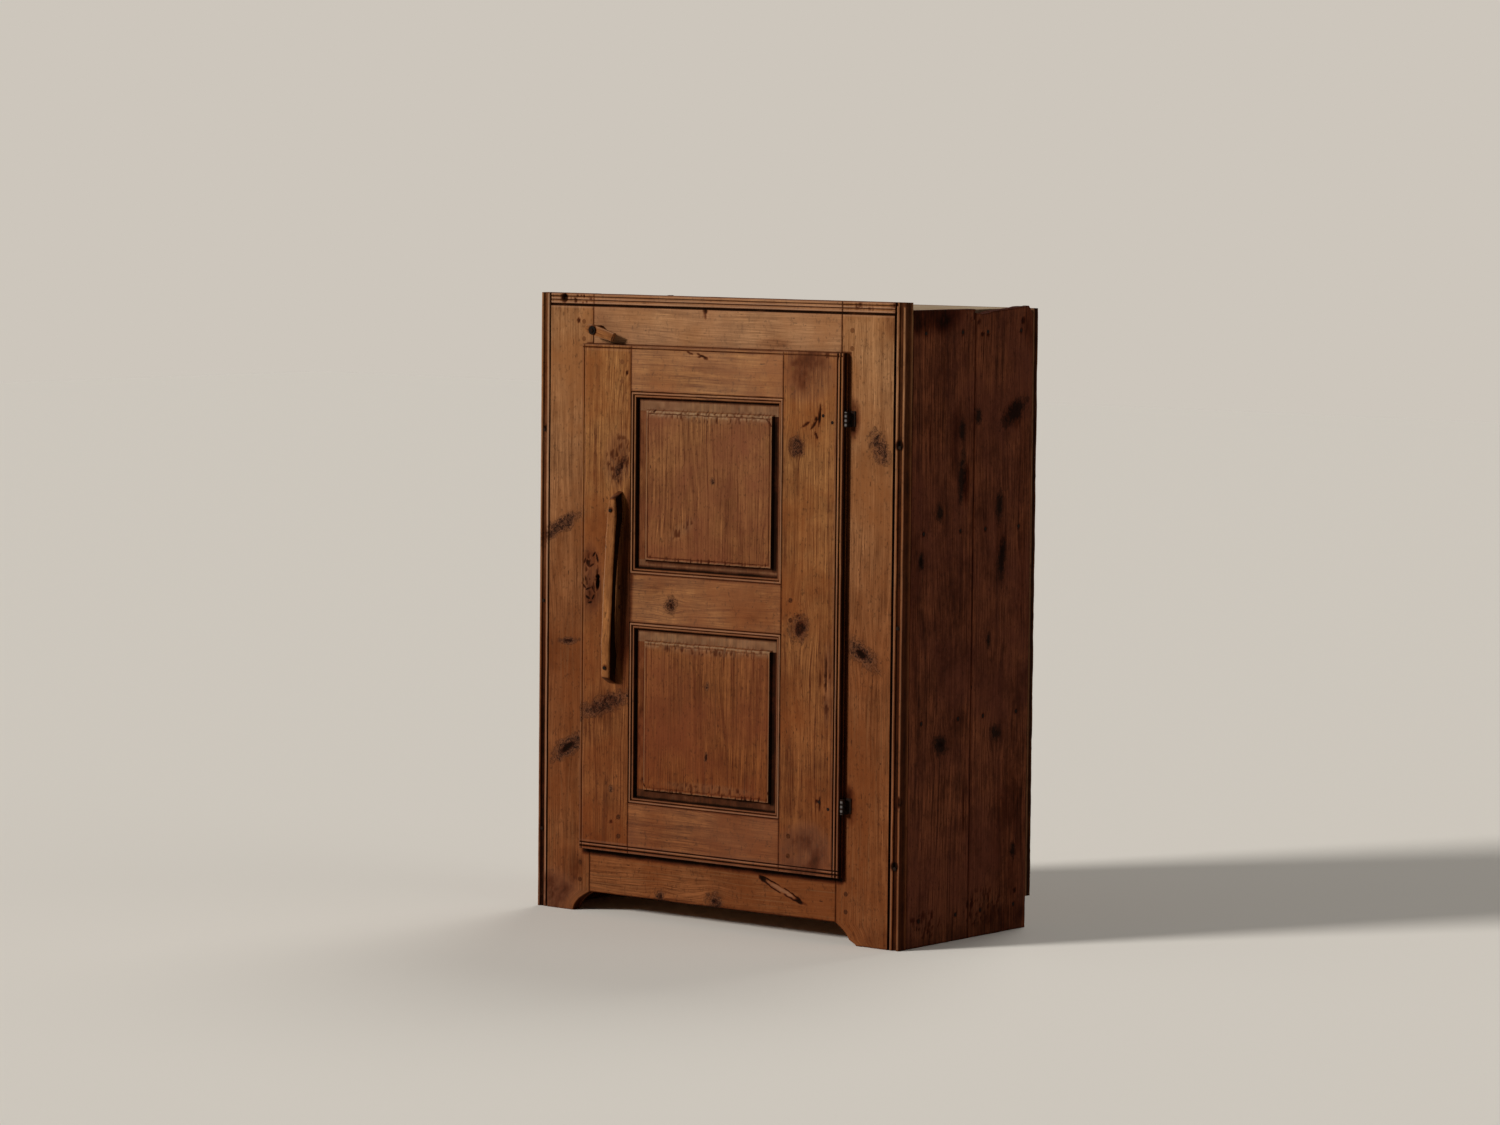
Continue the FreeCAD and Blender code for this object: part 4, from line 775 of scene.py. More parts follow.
SIDE_KNOTS = from_front((137, 720, 5, 9, 0), (136, 652, 5, 26, 6), (175, 740, 6, 8, 0),
                        (264, 742, 9, 26, 62), (85, 608, 5, 8, 0), (229, 607, 6, 14, 0),
                        (236, 533, 6, 22, 8), (42, 540, 4, 8, 0), (94, 281, 11, 9, 30),
                        (227, 287, 9, 9, 0), (273, 115, 5, 7, 0), (206, 420, 4, 8, 0))
SIDE_DENTS = from_front((182, 859, 4, 4, 0, 0.8, 0.9), (281, 872, 5, 5, 0, 1.0, 0.9),
                        (279, 57, 4, 4, 0, 0.8, 0.9), (94, 281, 6, 3, 20, 1.2, 0.9),
                        (42, 540, 2, 7, 0, 0.8, 0.9), (60, 700, 1.4, 40, 2, 0.5, 0.7),
                        (150, 200, 1.2, 46, -1, 0.5, 0.7))
SIDE_SMUDGES = from_front(
    (50, 884, 100, 34, 0, 1.4), (148, 645, 10, 40, 0, 0.9), (300, 860, 24, 40, 0, 0.7),
    (262, 738, 34, 26, 0, 0.5), (250, 20, 90, 30, 0, 0.5), (120, 700, 14, 60, 0, 0.5),
    (235, 560, 16, 60, 0, 0.5), (30, 500, 14, 200, 0, 0.35), (285, 600, 14, 220, 0, 0.3),
    (262, 130, 50, 150, 0, 0.4))
SIDE_SCARS = from_front((40, 872, 20, 12, 0, 1.0, 0.8), (160, 880, 22, 9, 0, 0.8, 0.7),
                        (236, 560, 12, 50, 4, 0.5, 0.5), (200, 40, 60, 34, 0, 0.7, 0.6),
                        (60, 30, 50, 26, 0, 0.7, 0.6))
CLEATS = ("bottom", "lower_shelf", "upper_shelf", "top")
CLEAT_HEIGHTS = [float(np.mean([corner[2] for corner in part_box(f"cleat_{which}_left")])) / MM
                 for which in CLEATS]
print("nails through the sides at heights, mm:", [round(height) for height in CLEAT_HEIGHTS])

# %% Side boards
for side, mirrored in (("right", False), ("left", True)):
    knots = [(mark[0], 900 - mark[1], *mark[2:]) for mark in SIDE_KNOTS] if mirrored else SIDE_KNOTS
    for part, shape, seed in (("front", None, 21), ("rear", waney_shape, 24)):
        node = f"side_board_{side}_{part}"
        low, high = box_of(node)
        at_nails = [(y / MM, z, 3.6, 3.8, 0, 0.45, 0.8) for z in CLEAT_HEIGHTS
                    for y in (low[1] + 30 * MM, high[1] - 30 * MM)]
        board(node, side, low, high, shape=shape,
              knots=[mark for mark in knots if low[1] - 0.02 < mark[0] * MM < high[1] + 0.02],
              dents=SIDE_DENTS + at_nails, scars=SIDE_SCARS, smudges=SIDE_SMUDGES,
              seed=seed + 20 * mirrored, arris=1.3 * MM, step=2.8, edge_dirt_and_shade=0.8)
        piece(node, SIDE_PINE, "carcass")

# %% Top, bottom, shelves and cleats
for node, seed in (("top_board_front", 61), ("top_board_rear", 62), ("bottom_board_front", 63),
                   ("bottom_board_rear", 64), ("shelf_lower", 65), ("shelf_upper", 66)):
    low, high = box_of(node)
    front = low[1] / MM
    top = node.startswith("top")
    board(node, "up", low, high, seed=seed, step=5, arris=1.4 * MM, dusty=0.85 * top,
          knots=[(front + 45, -190, 9, 8, 0), (front + 96, 120, 7, 11, 20)],
          scars=[(front + 70, 30, 30, 90, 10, 0.4, 0.2)])
    piece(node, TOP_PINE if top else INSIDE_PINE, "carcass")
for which in CLEATS:
    for side in ("left", "right"):
        node = f"cleat_{which}_{side}"
        board(node, f"cleat_{side}", *box_of(node), seed=70 + len(node), step=4, arris=1.2 * MM)
        piece(node, INSIDE_PINE, "carcass")

# %% Back boards
BACK_LAP = 0.55 * MM    # the back boards' ragged edges meet, so that no light shines between them
for column in (1, 2, 3, 4):
    node = f"back_board_{column}"
    low, high = box_of(node)
    middle = (low[0] + high[0]) / 2 / MM
    low[0] -= BACK_LAP * (low[0] > LEFT + 40 * MM)
    high[0] += BACK_LAP * (high[0] < RIGHT - 40 * MM)
    board(node, "back_upright", low, high, seed=80 + column, step=4, arris=1.2 * MM, edge_dirt_and_shade=1.2,
          knots=[(low[0] / MM + 40 + 17 * column, 240 + 150 * column, 8, 11, 0),
                 (low[0] / MM + 120 - 11 * column, 700 - 120 * column, 6, 9, 15)],
          dents=[(middle + aside, z, 3.5, 3.5, 0, 0.5, 0.75) for z in (57, 878) for aside in (-30, 30)],
          smudges=[((low[0] + high[0]) / 2 / MM, 50, 90, 45, 0, 0.55)])
    piece(node, BACK_PINE, "carcass")

# %% [markdown]
# ## The door
# Two stiles, three rails and two panels that float in grooves. The door laps over the opening:
# its back is cut down to a lip all round. One bead runs along its left and top edges and two
# along its right and bottom ones. Each opening's edge carries two reeds, mitred at the corners.
# A depth on the board's grid can't turn that corner sharply, so every stile and rail is a board
# and the reeded strips beside it, whose profile is carried along the edge.

# %% Lines of the door
STICKING = 9 * MM                 # width of the reeded strips
SEAM_LEFT = box_of("door_stile_left")[1][0] - STICKING
SEAM_RIGHT = box_of("door_stile_right")[0][0] + STICKING
TOP_RAIL_LOW = box_of("door_rail_top")[0][2] + STICKING
MIDDLE_LOW, MIDDLE_HIGH = (corner[2] + way * STICKING
                           for corner, way in zip(box_of("door_rail_middle"), (1, -1)))
BOTTOM_RAIL_HIGH = box_of("door_rail_bottom")[1][2] - STICKING
OPENINGS = {"upper": (MIDDLE_HIGH, TOP_RAIL_LOW), "lower": (BOTTOM_RAIL_HIGH, MIDDLE_LOW)}
LIP = 11.6 * MM                   # thickness of the lip
DOOR_GAP = 2.0 * MM               # between the rebated part and the opening
PLUG = {"x": (OPENING_LEFT + DOOR_GAP, OPENING_RIGHT - DOOR_GAP),
        "z": (OPENING_BOTTOM + DOOR_GAP, OPENING_TOP - DOOR_GAP)}
print("panel openings, mm high:", {name: round((top - bottom) / MM)
                                   for name, (bottom, top) in OPENINGS.items()})


# %% The door's edges
def door_mould(x, z):
    """The deepest of the four edges' mouldings, with its darkening by soiling and painted shade and its
    paling by wear and painted highlight.
    """
    edges = ((x - DOOR_LEFT, ONE_BEAD, z), (DOOR_TOP - z, ONE_BEAD, x),
             (DOOR_RIGHT - x, TWO_BEADS, z), (z - DOOR_BOTTOM, TWO_BEADS, x))
    made = [moulded(distance, members, DOOR_DEPTHS, 50 + number, along)
            for number, (distance, members, along) in enumerate(edges)]
    made[:2] = [(0.7 * depth, 0.6 * dirt, 0.5 * rub_and_highlight) for depth, dirt, rub_and_highlight in made[:2]]
    made[2:] = [(depth, dirt, 0.6 * rub_and_highlight) for depth, dirt, rub_and_highlight in made[2:]]
    depth = np.maximum.reduce([one[0] for one in made])
    rub_and_highlight = np.minimum(np.maximum.reduce([one[2] for one in made]), 1)
    return depth, np.maximum.reduce([one[1] for one in made]), rub_and_highlight


def rebate(x, z):
    """How far the door's back is cut away: to the lip outside the part that enters the frame."""
    inside = (x > PLUG["x"][0]) & (x < PLUG["x"][1]) & (z > PLUG["z"][0]) & (z < PLUG["z"][1])
    return np.where(inside, 0.0, DOOR_BACK - DOOR_FRONT - LIP)


def both_sides(places):
    """Two close grid lines at each place, where the face steps down."""
    return np.concatenate([np.array(places) - 0.06 * MM, np.array(places) + 0.06 * MM])


print("the door's back is cut away by, mm:", round(float(rebate(DOOR_LEFT, 0.5)) / MM, 1))

# %% Marks of age on the door
DOOR_MARKS = {
    "knots": from_left(
        (132, 306, 8.5, 42, 70), (481, 695, 8, 9.5, 0), (491, 441, 10, 13, 22), (160, 650, 4, 10, 30),
        (258, 458, 7, 8, 0), (150, 186, 3, 4, 0)),
    "dents": from_left(
        (121, 483, 3.6, 10.5, 4, 5.0, 1.3), (121, 492, 4.0, 4.0, 0, 5.0, 1.2),
        (97, 514, 1.7, 5, 20, 0.8, 0.95), (103, 511, 4.0, 6, -30, 0.9, 1.0),
        (110, 508, 1.6, 6, 60, 0.7, 0.95), (114, 524, 1.6, 5, 40, 0.8, 0.95),
        (120, 519, 1.5, 7, -15, 0.7, 1.1), (121, 499, 1.6, 7, 8, 0.8, 0.95),
        (96, 477, 1.6, 5, -50, 0.8, 0.95), (104, 474, 1.5, 6, 70, 0.7, 1.1),
        (113, 473, 1.6, 7, -35, 0.8, 0.95), (103, 461, 2.2, 5, -60, 0.9, 1.0),
        (113, 462, 1.6, 5, 30, 0.8, 1.2), (107, 454, 1.5, 4, 80, 0.7, 1.2),
        (522, 741, 2.0, 15, 4, 1.6, 1.2), (512, 727, 1.8, 9, 40, 1.2, 1.1),
        (516, 735, 2.6, 3, 0, 1.2, 1.2), (498, 727, 1.8, 8, 60, 1.0, 1.0),
        (516, 712, 1.8, 6, -30, 1.0, 1.0), (529, 196, 1.4, 10, 0, 1.2, 0.95),
        (524, 200, 2.6, 2.6, 0, 1.0, 0.9), (173, 788, 2.4, 3.2, 0, 0.9, 0.9),
        (163.5, 146, 3.2, 3.4, 0, 0.0, 1.0), (150, 138, 2.6, 2.6, 0, 0.8, 0.8),
        (163.5, 118, 3.2, 3.4, 0, 0.0, 1.0), (258, 458, 3, 3.4, 0, 0.7, 0.7),
        (487, 458, 2.2, 2.2, 0, 0.7, 0.8), (491, 441, 8.5, 12, 22, 0.5, 0.7),
        (528, 372, 1.2, 20, 0, 0.6, 0.8), (538, 380, 1.2, 26, 0, 0.8, 0.9),
        # (175, 477): no depth, a painted shadow of the pull on the door
        (175, 477, 12, 144, 2, 0.0, 0.7)),
    "scars": from_left(
        (158, 664, 28, 44, 10, 0.9, 0.7), (107, 489, 20, 46, 0, 0.9, 0.8),
        (128, 306, 11, 34, 62, 0.5, 0.6), (540, 365, 7, 60, 0, 0.7, 0.75),
        (505, 800, 44, 32, 0, 0.3, 0.35), (505, 128, 40, 34, 0, 0.5, 0.25),
        (301, 818, 3.0, 30, -76, 0.6, 1.0), (545, 825, 26, 7, 0, 0.7, 0.6)),
    "smudges": from_left(
        (500, 800, 54, 50, 0, 0.88, 0.45), (505, 122, 54, 48, 0, 0.95, 0.5),
        # (172, 477): the pull's painted shadow, right of the pull
        (108, 487, 26, 60, 0, 0.9, 0.2), (172, 477, 14, 150, 0, 0.85), (158, 662, 27, 46, 0, 0.6),
        (135, 306, 46, 40, 0, 0.35), (112, 108, 36, 22, 0, 0.3), (322, 792, 28, 60, 90, 0.25),
        (540, 365, 14, 90, 0, 0.4), (481, 695, 20, 22, 0, 0.35), (491, 441, 20, 26, 0, 0.35),
        (395, 452, 24, 40, 90, 0.2), (300, 112, 18, 150, 90, 0.2), (126, 560, 30, 70, 0, 0.25),
        (165, 200, 18, 60, 0, 0.25))}
print("marks on the door:", {kind: len(group) for kind, group in DOOR_MARKS.items()})


# %% Reeds along the openings
def sticking_strip(name, facing, seam, side, low, high, seed):
    """Two reeds along one edge of a stile or rail. The profile, from the seam inward, is a short
    slope, a reed 1.2 mm high, a step of 1.6 mm and a second reed; each reed is a parabola. Its
    ends are mitred: a point p from the seam starts p after one end and stops p before the other.
    The second reed's inner slope and the wall down to the panel carry painted shade, near black,
    and the reeds' crests carry wear and a painted highlight."""
    p = np.array([0, 0.35, 0.72, 0.8, 1.1, 1.6, 2.2, 2.7, 3.2, 3.8, 4.2, 4.46, 4.54, 4.8, 5.2, 5.8,
                  6.75, 7.7, 8.3, 8.7, 9.0])
    outer_reed, inner_reed = 1.2 * ((p - 2.62) / 1.88) ** 2, 1.6 + 1.2 * ((p - 6.75) / 2.25) ** 2
    depth = np.where(p < 0.75, 1.6 * p, np.where(p < 4.5, outer_reed, inner_reed))
    grime_and_shade = np.where(p < 1.0, 0.7, 0.15)
    grime_and_shade = np.maximum(grime_and_shade, np.exp(-((p - 4.6) / 0.8) ** 2) * 0.95)
    # painted shade: the second reed's inner slope and the wall below it, near black
    grime_and_shade = np.maximum(grime_and_shade, 1.1 * ease(7.2, 8.4, p))
    # wear and painted highlight on the reeds' crests
    rub_and_highlight = np.maximum(0.6 * (1 - abs(p - 2.3) / 1.4), 0.3 * (1 - abs(p - 6.3) / 1.2)).clip(0, 1)
    ring_p = np.concatenate([p, [9.0, 9.0, 0.0]])
    ring_depth = np.concatenate([depth, [7.2, 22.0, 22.0]])
    ring_dirt_and_shade, ring_rub_and_highlight = (np.concatenate([value, [1.1, 0.3, 0.3]]) for value in (grime_and_shade, rub_and_highlight))
    ring_rub_and_highlight[-3:] = 0
    stations = np.linspace(0, 1, max(8, int((high - low) / (3.5 * MM))))
    pp, share = np.meshgrid(ring_p * MM, stations, indexing="ij")
    along = low + pp + (high - low - 2 * pp) * share
    wear = 0.28 * MM * positive(seed, along / (12 * MM), pp / (2 * MM)) * (ring_depth < 7)[:, None]
    sink = ring_depth[:, None] * MM + wear
    points = placed(facing, seam + side * pp, along, -DOOR_FRONT - sink).reshape(-1, 3)
    ring, count = pp.shape
    ids = np.arange(ring * count).reshape(ring, count)
    after = np.roll(ids, -1, axis=0)
    quads = np.stack([ids[:, :-1], after[:, :-1], after[:, 1:], ids[:, 1:]], -1).reshape(-1, 4)
    faces = [*quads, ids[::-1, 0], ids[:, -1]]
    if np.linalg.det(placed(facing, *np.eye(3))) * side < 0:
        faces = [face[::-1] for face in faces]
    grain = np.stack([(seam + side * pp).ravel() + 0.11 * seed, sink.ravel(),
                      along.ravel() + 0.2 * seed], -1)
    values = [np.repeat(value, count) for value in (0 * ring_dirt_and_shade, ring_dirt_and_shade, ring_rub_and_highlight)]
    SHELLS.setdefault(name, []).append((points, faces, grain, *values))


print("a pair of reeds, mm wide:", STICKING / MM)

# %% Door stiles, with lines close enough for the keyhole
EDGE_LINES = {"left": moulding_lines(DOOR_LEFT, 1, ONE_BEAD), "middle": (),
              "right": moulding_lines(DOOR_RIGHT, -1, TWO_BEADS),
              "top": moulding_lines(DOOR_TOP, -1, ONE_BEAD),
              "bottom": moulding_lines(DOOR_BOTTOM, 1, TWO_BEADS)}
KEYHOLE_ACROSS, KEYHOLE_UP = LEFT + np.arange(92, 128, 1.0) * MM, np.arange(450, 532, 1.0) * MM
for side, seam, inward, across, up, seed in (("left", SEAM_LEFT, 1, KEYHOLE_ACROSS, KEYHOLE_UP, 31),
                                             ("right", SEAM_RIGHT, -1, (), (), 34)):
    node = f"door_stile_{side}"
    low, high = box_of(node)
    (high if side == "left" else low)[0] = seam
    # the door's edge faces are darkened near black: grime and painted shade
    board(node, "front_upright", low, high, carve=door_mould, hollow=rebate,
          across=np.concatenate([EDGE_LINES[side], both_sides(PLUG["x"]), across]),
          along=np.concatenate([EDGE_LINES["top"], both_sides(PLUG["z"]), EDGE_LINES["bottom"], up]),
          **marks_on(DOOR_MARKS, low, high), edge_dirt_and_shade=1.3, seed=seed, arris=1.1 * MM, step=2.2)
    for which, (bottom, top) in OPENINGS.items():
        sticking_strip(node, "front_upright", seam, inward, bottom, top, seed + len(which))
    piece(node, DOOR_PINE, "door")

# %% Door rails
for rail, bottom, top, strips, dusty, seed in (
        ("top", TOP_RAIL_LOW, DOOR_TOP, [(TOP_RAIL_LOW, -1, 43)], 0.24, 37),
        ("middle", MIDDLE_LOW, MIDDLE_HIGH, [(MIDDLE_HIGH, 1, 48), (MIDDLE_LOW, -1, 46)], 0.14, 38),
        ("bottom", DOOR_BOTTOM, BOTTOM_RAIL_HIGH, [(BOTTOM_RAIL_HIGH, 1, 51)], 0.11, 39)):
    node = f"door_rail_{rail}"
    low, high = np.array([(SEAM_LEFT, DOOR_FRONT, bottom), (SEAM_RIGHT, DOOR_BACK, top)])
    board(node, "front_level", low, high, carve=door_mould, hollow=rebate,
          across=np.concatenate([EDGE_LINES[rail], both_sides(PLUG["z"])]),
          **marks_on(DOOR_MARKS, low, high, level=True), dusty=dusty, edge_dirt_and_shade=0.6, seed=seed,
          arris=0.8 * MM, step=2.2)
    for seam, up, strip_seed in strips:
        sticking_strip(node, "front_level", seam, up, SEAM_LEFT, SEAM_RIGHT, strip_seed)
    piece(node, DOOR_PINE, "door")

# %% [markdown]
# ## The raised panels
# A raised panel is one board, planed thin all round so that its edge fits the groove. The plane
# leaves a sloped shoulder, and where it crosses the grain, at the top and the bottom, it tears
# the wood. A scratched line runs inside the field's edge. A bevel would give the slope alone; as
# a depth that follows from the distance to the field's edge, slope, torn wood and line are one.

# %% The depth of a raised panel
FIELD = {"left": 27 * MM, "right": 21.5 * MM, "top": 27 * MM, "bottom": 21.5 * MM}
FIELD_RISE, FIELD_SLOPE = 4.5 * MM, 2.6 * MM
LINE_INSET, LINE_HALF, LINE_DEPTH = 3.6 * MM, 0.8 * MM, 0.7 * MM


def panel_carve(bottom, top, seed, line, gloomy):
    """Depth below the field: none on it, a straight slope at its edge, 4.5 mm on the border."""
    left, right = SEAM_LEFT + FIELD["left"], SEAM_RIGHT - FIELD["right"]
    low, high = bottom + FIELD["bottom"], top - FIELD["top"]

    def carve(x, z):
        across = np.minimum(x - left, right - x) + 0.25 * MM * noise(seed, z / (25 * MM))
        along = np.minimum(z - low, high - z) + 0.55 * MM * noise(seed + 1, x / (5 * MM), z / 0.2)
        edge = np.minimum(across, along)
        depth = FIELD_RISE * np.clip(-edge / FIELD_SLOPE, 0, 1)
        # torn wood at the field's two ends, and the scratched line
        torn = ease(0.15, 0.6, noise(seed + 2, x / (1.9 * MM), z / (11 * MM)))
        end_edge = np.minimum(abs(z - low), abs(high - z))
        torn = torn * (1 - ease(2 * MM, 9 * MM, end_edge)) * (across > 2 * MM)
        scratch = np.exp(-((edge - LINE_INSET) / LINE_HALF) ** 2) * line
        on_line = scratch * (0.55 + 0.45 * positive(seed + 3, x / (12 * MM), z / (12 * MM)))
        depth = depth + 0.9 * MM * torn * (edge > -1 * MM) + LINE_DEPTH * on_line
        # grime and painted shade at the slope's foot and at the rim under the reeds, dirt in the torn wood
        # and the line, and on the border grime, with painted shade below the field
        foot = np.exp(-((edge + FIELD_SLOPE) / (1.1 * MM)) ** 2) * np.where(z > high, 0.25, 1.0)
        rim = np.minimum.reduce([x - SEAM_LEFT, SEAM_RIGHT - x, z - bottom, top - z]) - STICKING
        dirt = np.maximum(1.1 * (1 - ease(1 * MM, 4.5 * MM, rim)), 0.9 * foot)
        dirt = np.maximum(dirt, np.maximum(np.where(z > bottom + 90 * MM, 0.4, 0.8) * torn, 0.8 * on_line))
        border = ease(0.6, 1.0, -edge / FIELD_SLOPE)
        gloom = 0.06 + 0.25 * positive(seed + 4, x / (8 * MM), z / (8 * MM)) + gloomy * (z < low)
        dirt = np.maximum(dirt, border * gloom)
        # painted shadow: a dark band right of and below the field, where its raised edge throws shade
        past = np.maximum((x - right) / 1.5, low - z)
        shaded = ease(-0.5 * MM, 0.4 * MM, past) * (1 - ease(4 * MM, 7.5 * MM, past))
        shaded = shaded * np.where(x > right, 1.1, 0.75)
        dirt = np.maximum(dirt, shaded * (z < high) * (x > left))
        # paler: the field's arris, doubled by a painted highlight on its top arris, a crust of old paint at
        # its top, the border's ends
        arris = np.exp(-((edge - 0.3 * MM) / (0.9 * MM)) ** 2) * np.where(z > high - 2 * MM, 2.0, 1.0)
        crust = positive(seed + 5, x / (2.2 * MM), z / (2.6 * MM)) * (1 - ease(3 * MM, 11 * MM, high - z))
        crust = crust * (across > 1 * MM) * (z < high)
        faded = border * np.where(z > high, 0.4, 0.3 * (z < low))
        return depth, dirt, np.maximum.reduce([0.35 * arris, faded, 0.9 * line * crust])
    return carve


print("the field is raised by, mm:", FIELD_RISE / MM)

# %% Panels
PANEL_MARKS = {
    "upper": {"knots": from_left((330, 640, 3, 3, 0)),
              "dents": from_left((430, 727, 1.3, 9, -42, 0.8, 0.85), (437, 700, 2, 2.4, 0, 0.9, 0.9),
                                 (222, 735, 2.2, 2.6, 0, 0.8, 0.9)),
              "scars": from_left((276, 568, 10, 30, 58, 0.35, 0.5), (330, 729, 9, 105, 90, 0.6, 0.6))},
    "lower": {"knots": from_left((324, 346, 3, 4, 0), (323, 245, 2.4, 5, 0)),
              "dents": from_left((206, 200, 1.4, 9, -38, 0.8, 0.9), (436, 203, 2, 2.4, 0, 0.9, 0.9),
                                 (323, 245, 1.5, 5, 0, 0.6, 0.9), (250, 396, 1.6, 6, 0, 0.7, 0.8)),
              "scars": from_left((320, 396, 7, 100, 90, 0.6, 0.55), (330, 200, 8, 90, 90, 0.5, 0.5))}}
NEAR_EDGE = np.array([-3.4, -2.9, -2.5, -2.1, -1.6, -1.0, -0.4, 0, 0.4, 0.9, 1.6, 2.4, 3.0, 3.5, 4.0,
                      4.6, 5.4]) * MM
for which, seed, line, gloomy in (("upper", 91, 1.0, 0.1), ("lower", 101, 0.55, 0.45)):
    node = f"door_panel_{which}"
    bottom, top = OPENINGS[which]
    across, along = (np.concatenate([low + NEAR_EDGE, high - NEAR_EDGE]) for low, high in (
        (SEAM_LEFT + FIELD["left"], SEAM_RIGHT - FIELD["right"]),
        (bottom + FIELD["bottom"], top - FIELD["top"])))
    board(node, "front_upright", *box_of(node), across=across, along=along,
          carve=panel_carve(bottom, top, seed, line, gloomy), **PANEL_MARKS[which],
          seed=seed, arris=0.5 * MM, step=1.9)
    piece(node, PANEL_PINE, "door")

# %% [markdown]
# ## The pull and the turn button
# Both were whittled with a knife. The pull is a bar nailed at its ends and hollowed behind the
# grip; the button is a small bar on a nail, with a foot that lifts it over the door's edge. A
# bevelled block would be too regular for either. Each is a row of closed sections, and a section
# is a superellipse: its sine and cosine are raised to a power below 1, which squares the circle.

# %% Lofted wood
def loft(name, sections, grain, dirt, worn):
    """Closed skin through a row of sections, (row, point, xyz), with a flat cap at each end."""
    rows, count = sections.shape[:2]
    ids = np.arange(rows * count).reshape(rows, count)
    after = np.roll(ids, -1, axis=1)
    quads = np.stack([ids[:-1], after[:-1], after[1:], ids[1:]], -1).reshape(-1, 4)
    faces = [*quads, ids[0, ::-1], ids[-1]]
    points = sections.reshape(-1, 3)
    heart = points.mean(axis=0)
    first = points[quads]
    normal = np.cross(first[:, 1] - first[:, 0], first[:, 3] - first[:, 0])
    if ((first.mean(axis=1) - heart) * normal).sum() < 0:
        faces = [face[::-1] for face in faces]
    SHELLS.setdefault(name, []).append((points, faces, grain.reshape(-1, 3), np.zeros(len(points)),
                                        dirt.ravel(), worn.ravel()))


def squared(angle, power):
    """Cosine and sine of the angle, each raised to the power with its sign kept."""
    cosine, sine = np.cos(angle), np.sin(angle)
    return np.sign(cosine) * abs(cosine) ** power, np.sign(sine) * abs(sine) ** power


def rounds(places, count):
    """The grid of a loft: a place along it and an angle round it for every point."""
    return np.meshgrid(places, np.linspace(0, 2 * math.pi, count, endpoint=False), indexing="ij")


print("a squared circle at 45 degrees:", np.round(squared(math.radians(45), 0.42), 2))

# %% The pull
HANDLE_LOW, HANDLE_HIGH = box_of("pull_handle")
HANDLE_MIDDLE = (HANDLE_LOW + HANDLE_HIGH) / 2
HANDLE_HALF, HANDLE_WIDTH, HANDLE_LEAN = 139.5 * MM, 16.4 * MM, math.radians(2.2)
HANDLE_STAND = DOOR_FRONT - HANDLE_LOW[1]
GRIP_HALF, GRIP_GAP, END_SLANT = 95 * MM, 10 * MM, 12 * MM
NAIL_REACH = 114 * MM     # of its two nails from its middle

# t runs from -1 at its foot to 1 at its top; facets are the knife's, 0.35 mm deep
t, angle = rounds(np.linspace(-1, 1, 150), 40)
side, out = squared(angle, 0.42)
height = t * HANDLE_HALF
hollow = GRIP_GAP * np.sqrt(np.clip(1 - (height / GRIP_HALF) ** 2, 0, 1)) ** 1.3
stand = HANDLE_STAND - 0.5 * MM - 1.6 * MM * ease(0.55, 1.0, abs(t)) - 0.5 * MM * positive(3, t * 6)
depth = hollow + (stand - hollow) * (1 + out) / 2
width = HANDLE_WIDTH * (0.52 - 0.2 * ease(0.72, 1.0, t) - 0.05 * ease(0.6, 1.0, -t))
width = width - 0.3 * MM * positive(4, t * 9, side * 1.5)
facet = 0.35 * MM * noise(6, t * 22, angle * 1.3)
x = side * (width + facet) + 0.8 * MM * np.sin(2.4 * t)
z = t * (HANDLE_HALF - END_SLANT * abs(t) ** 14 * depth / HANDLE_STAND)
depth = np.clip(depth + facet * (out > 0.2) * 0.6, 0, HANDLE_STAND)
turned_x = x * math.cos(HANDLE_LEAN) + z * math.sin(HANDLE_LEAN)
turned_z = z * math.cos(HANDLE_LEAN) - x * math.sin(HANDLE_LEAN)
sections = np.stack([HANDLE_MIDDLE[0] + turned_x, DOOR_FRONT - depth,
                     HANDLE_MIDDLE[2] + turned_z], -1)
at_nail = np.exp(-((abs(z) - NAIL_REACH) / (3.2 * MM)) ** 2 - (x / (3.6 * MM)) ** 2) * (out > 0.5)
dirt = np.maximum(0.55 * (1 - ease(0, 4 * MM, depth)), 0.95 * at_nail)
dirt = np.maximum(dirt, 0.4 * ease(0.93, 1.0, abs(t)))
# painted shade: the pull's right side, turned from the key light, is darkened near black
dirt = np.maximum(dirt, 1.15 * (side > 0.97) * (out < 0.85))
# painted highlight on the pull's left arris, which faces the key light
worn = 0.9 * np.exp(-((side + 0.9) / 0.12) ** 2) * (out > 0.7)
loft("pull_handle", sections, np.stack([x * 0.8 + 0.5, depth * 0.8, z], -1), dirt, worn)
PULL_PINE = pine("whittled pine, handled", "#986337", "#5E361C", "#714323", rough=(0.45, 0.6))
piece("pull_handle", PULL_PINE, "door")

# %% The turn button
PIVOT_LOW, PIVOT_HIGH = box_of("turn_button_nail")
PIVOT = (PIVOT_LOW + PIVOT_HIGH) / 2
BUTTON_FRONT = box_of("turn_button")[0][1]
BUTTON_THICK, BUTTON_HALF = 8 * MM, 7.5 * MM
BUTTON_HEAD, BUTTON_TIP, BUTTON_REST = 14 * MM, 37 * MM, math.radians(75)
BUTTON_BACK = BUTTON_FRONT + BUTTON_THICK

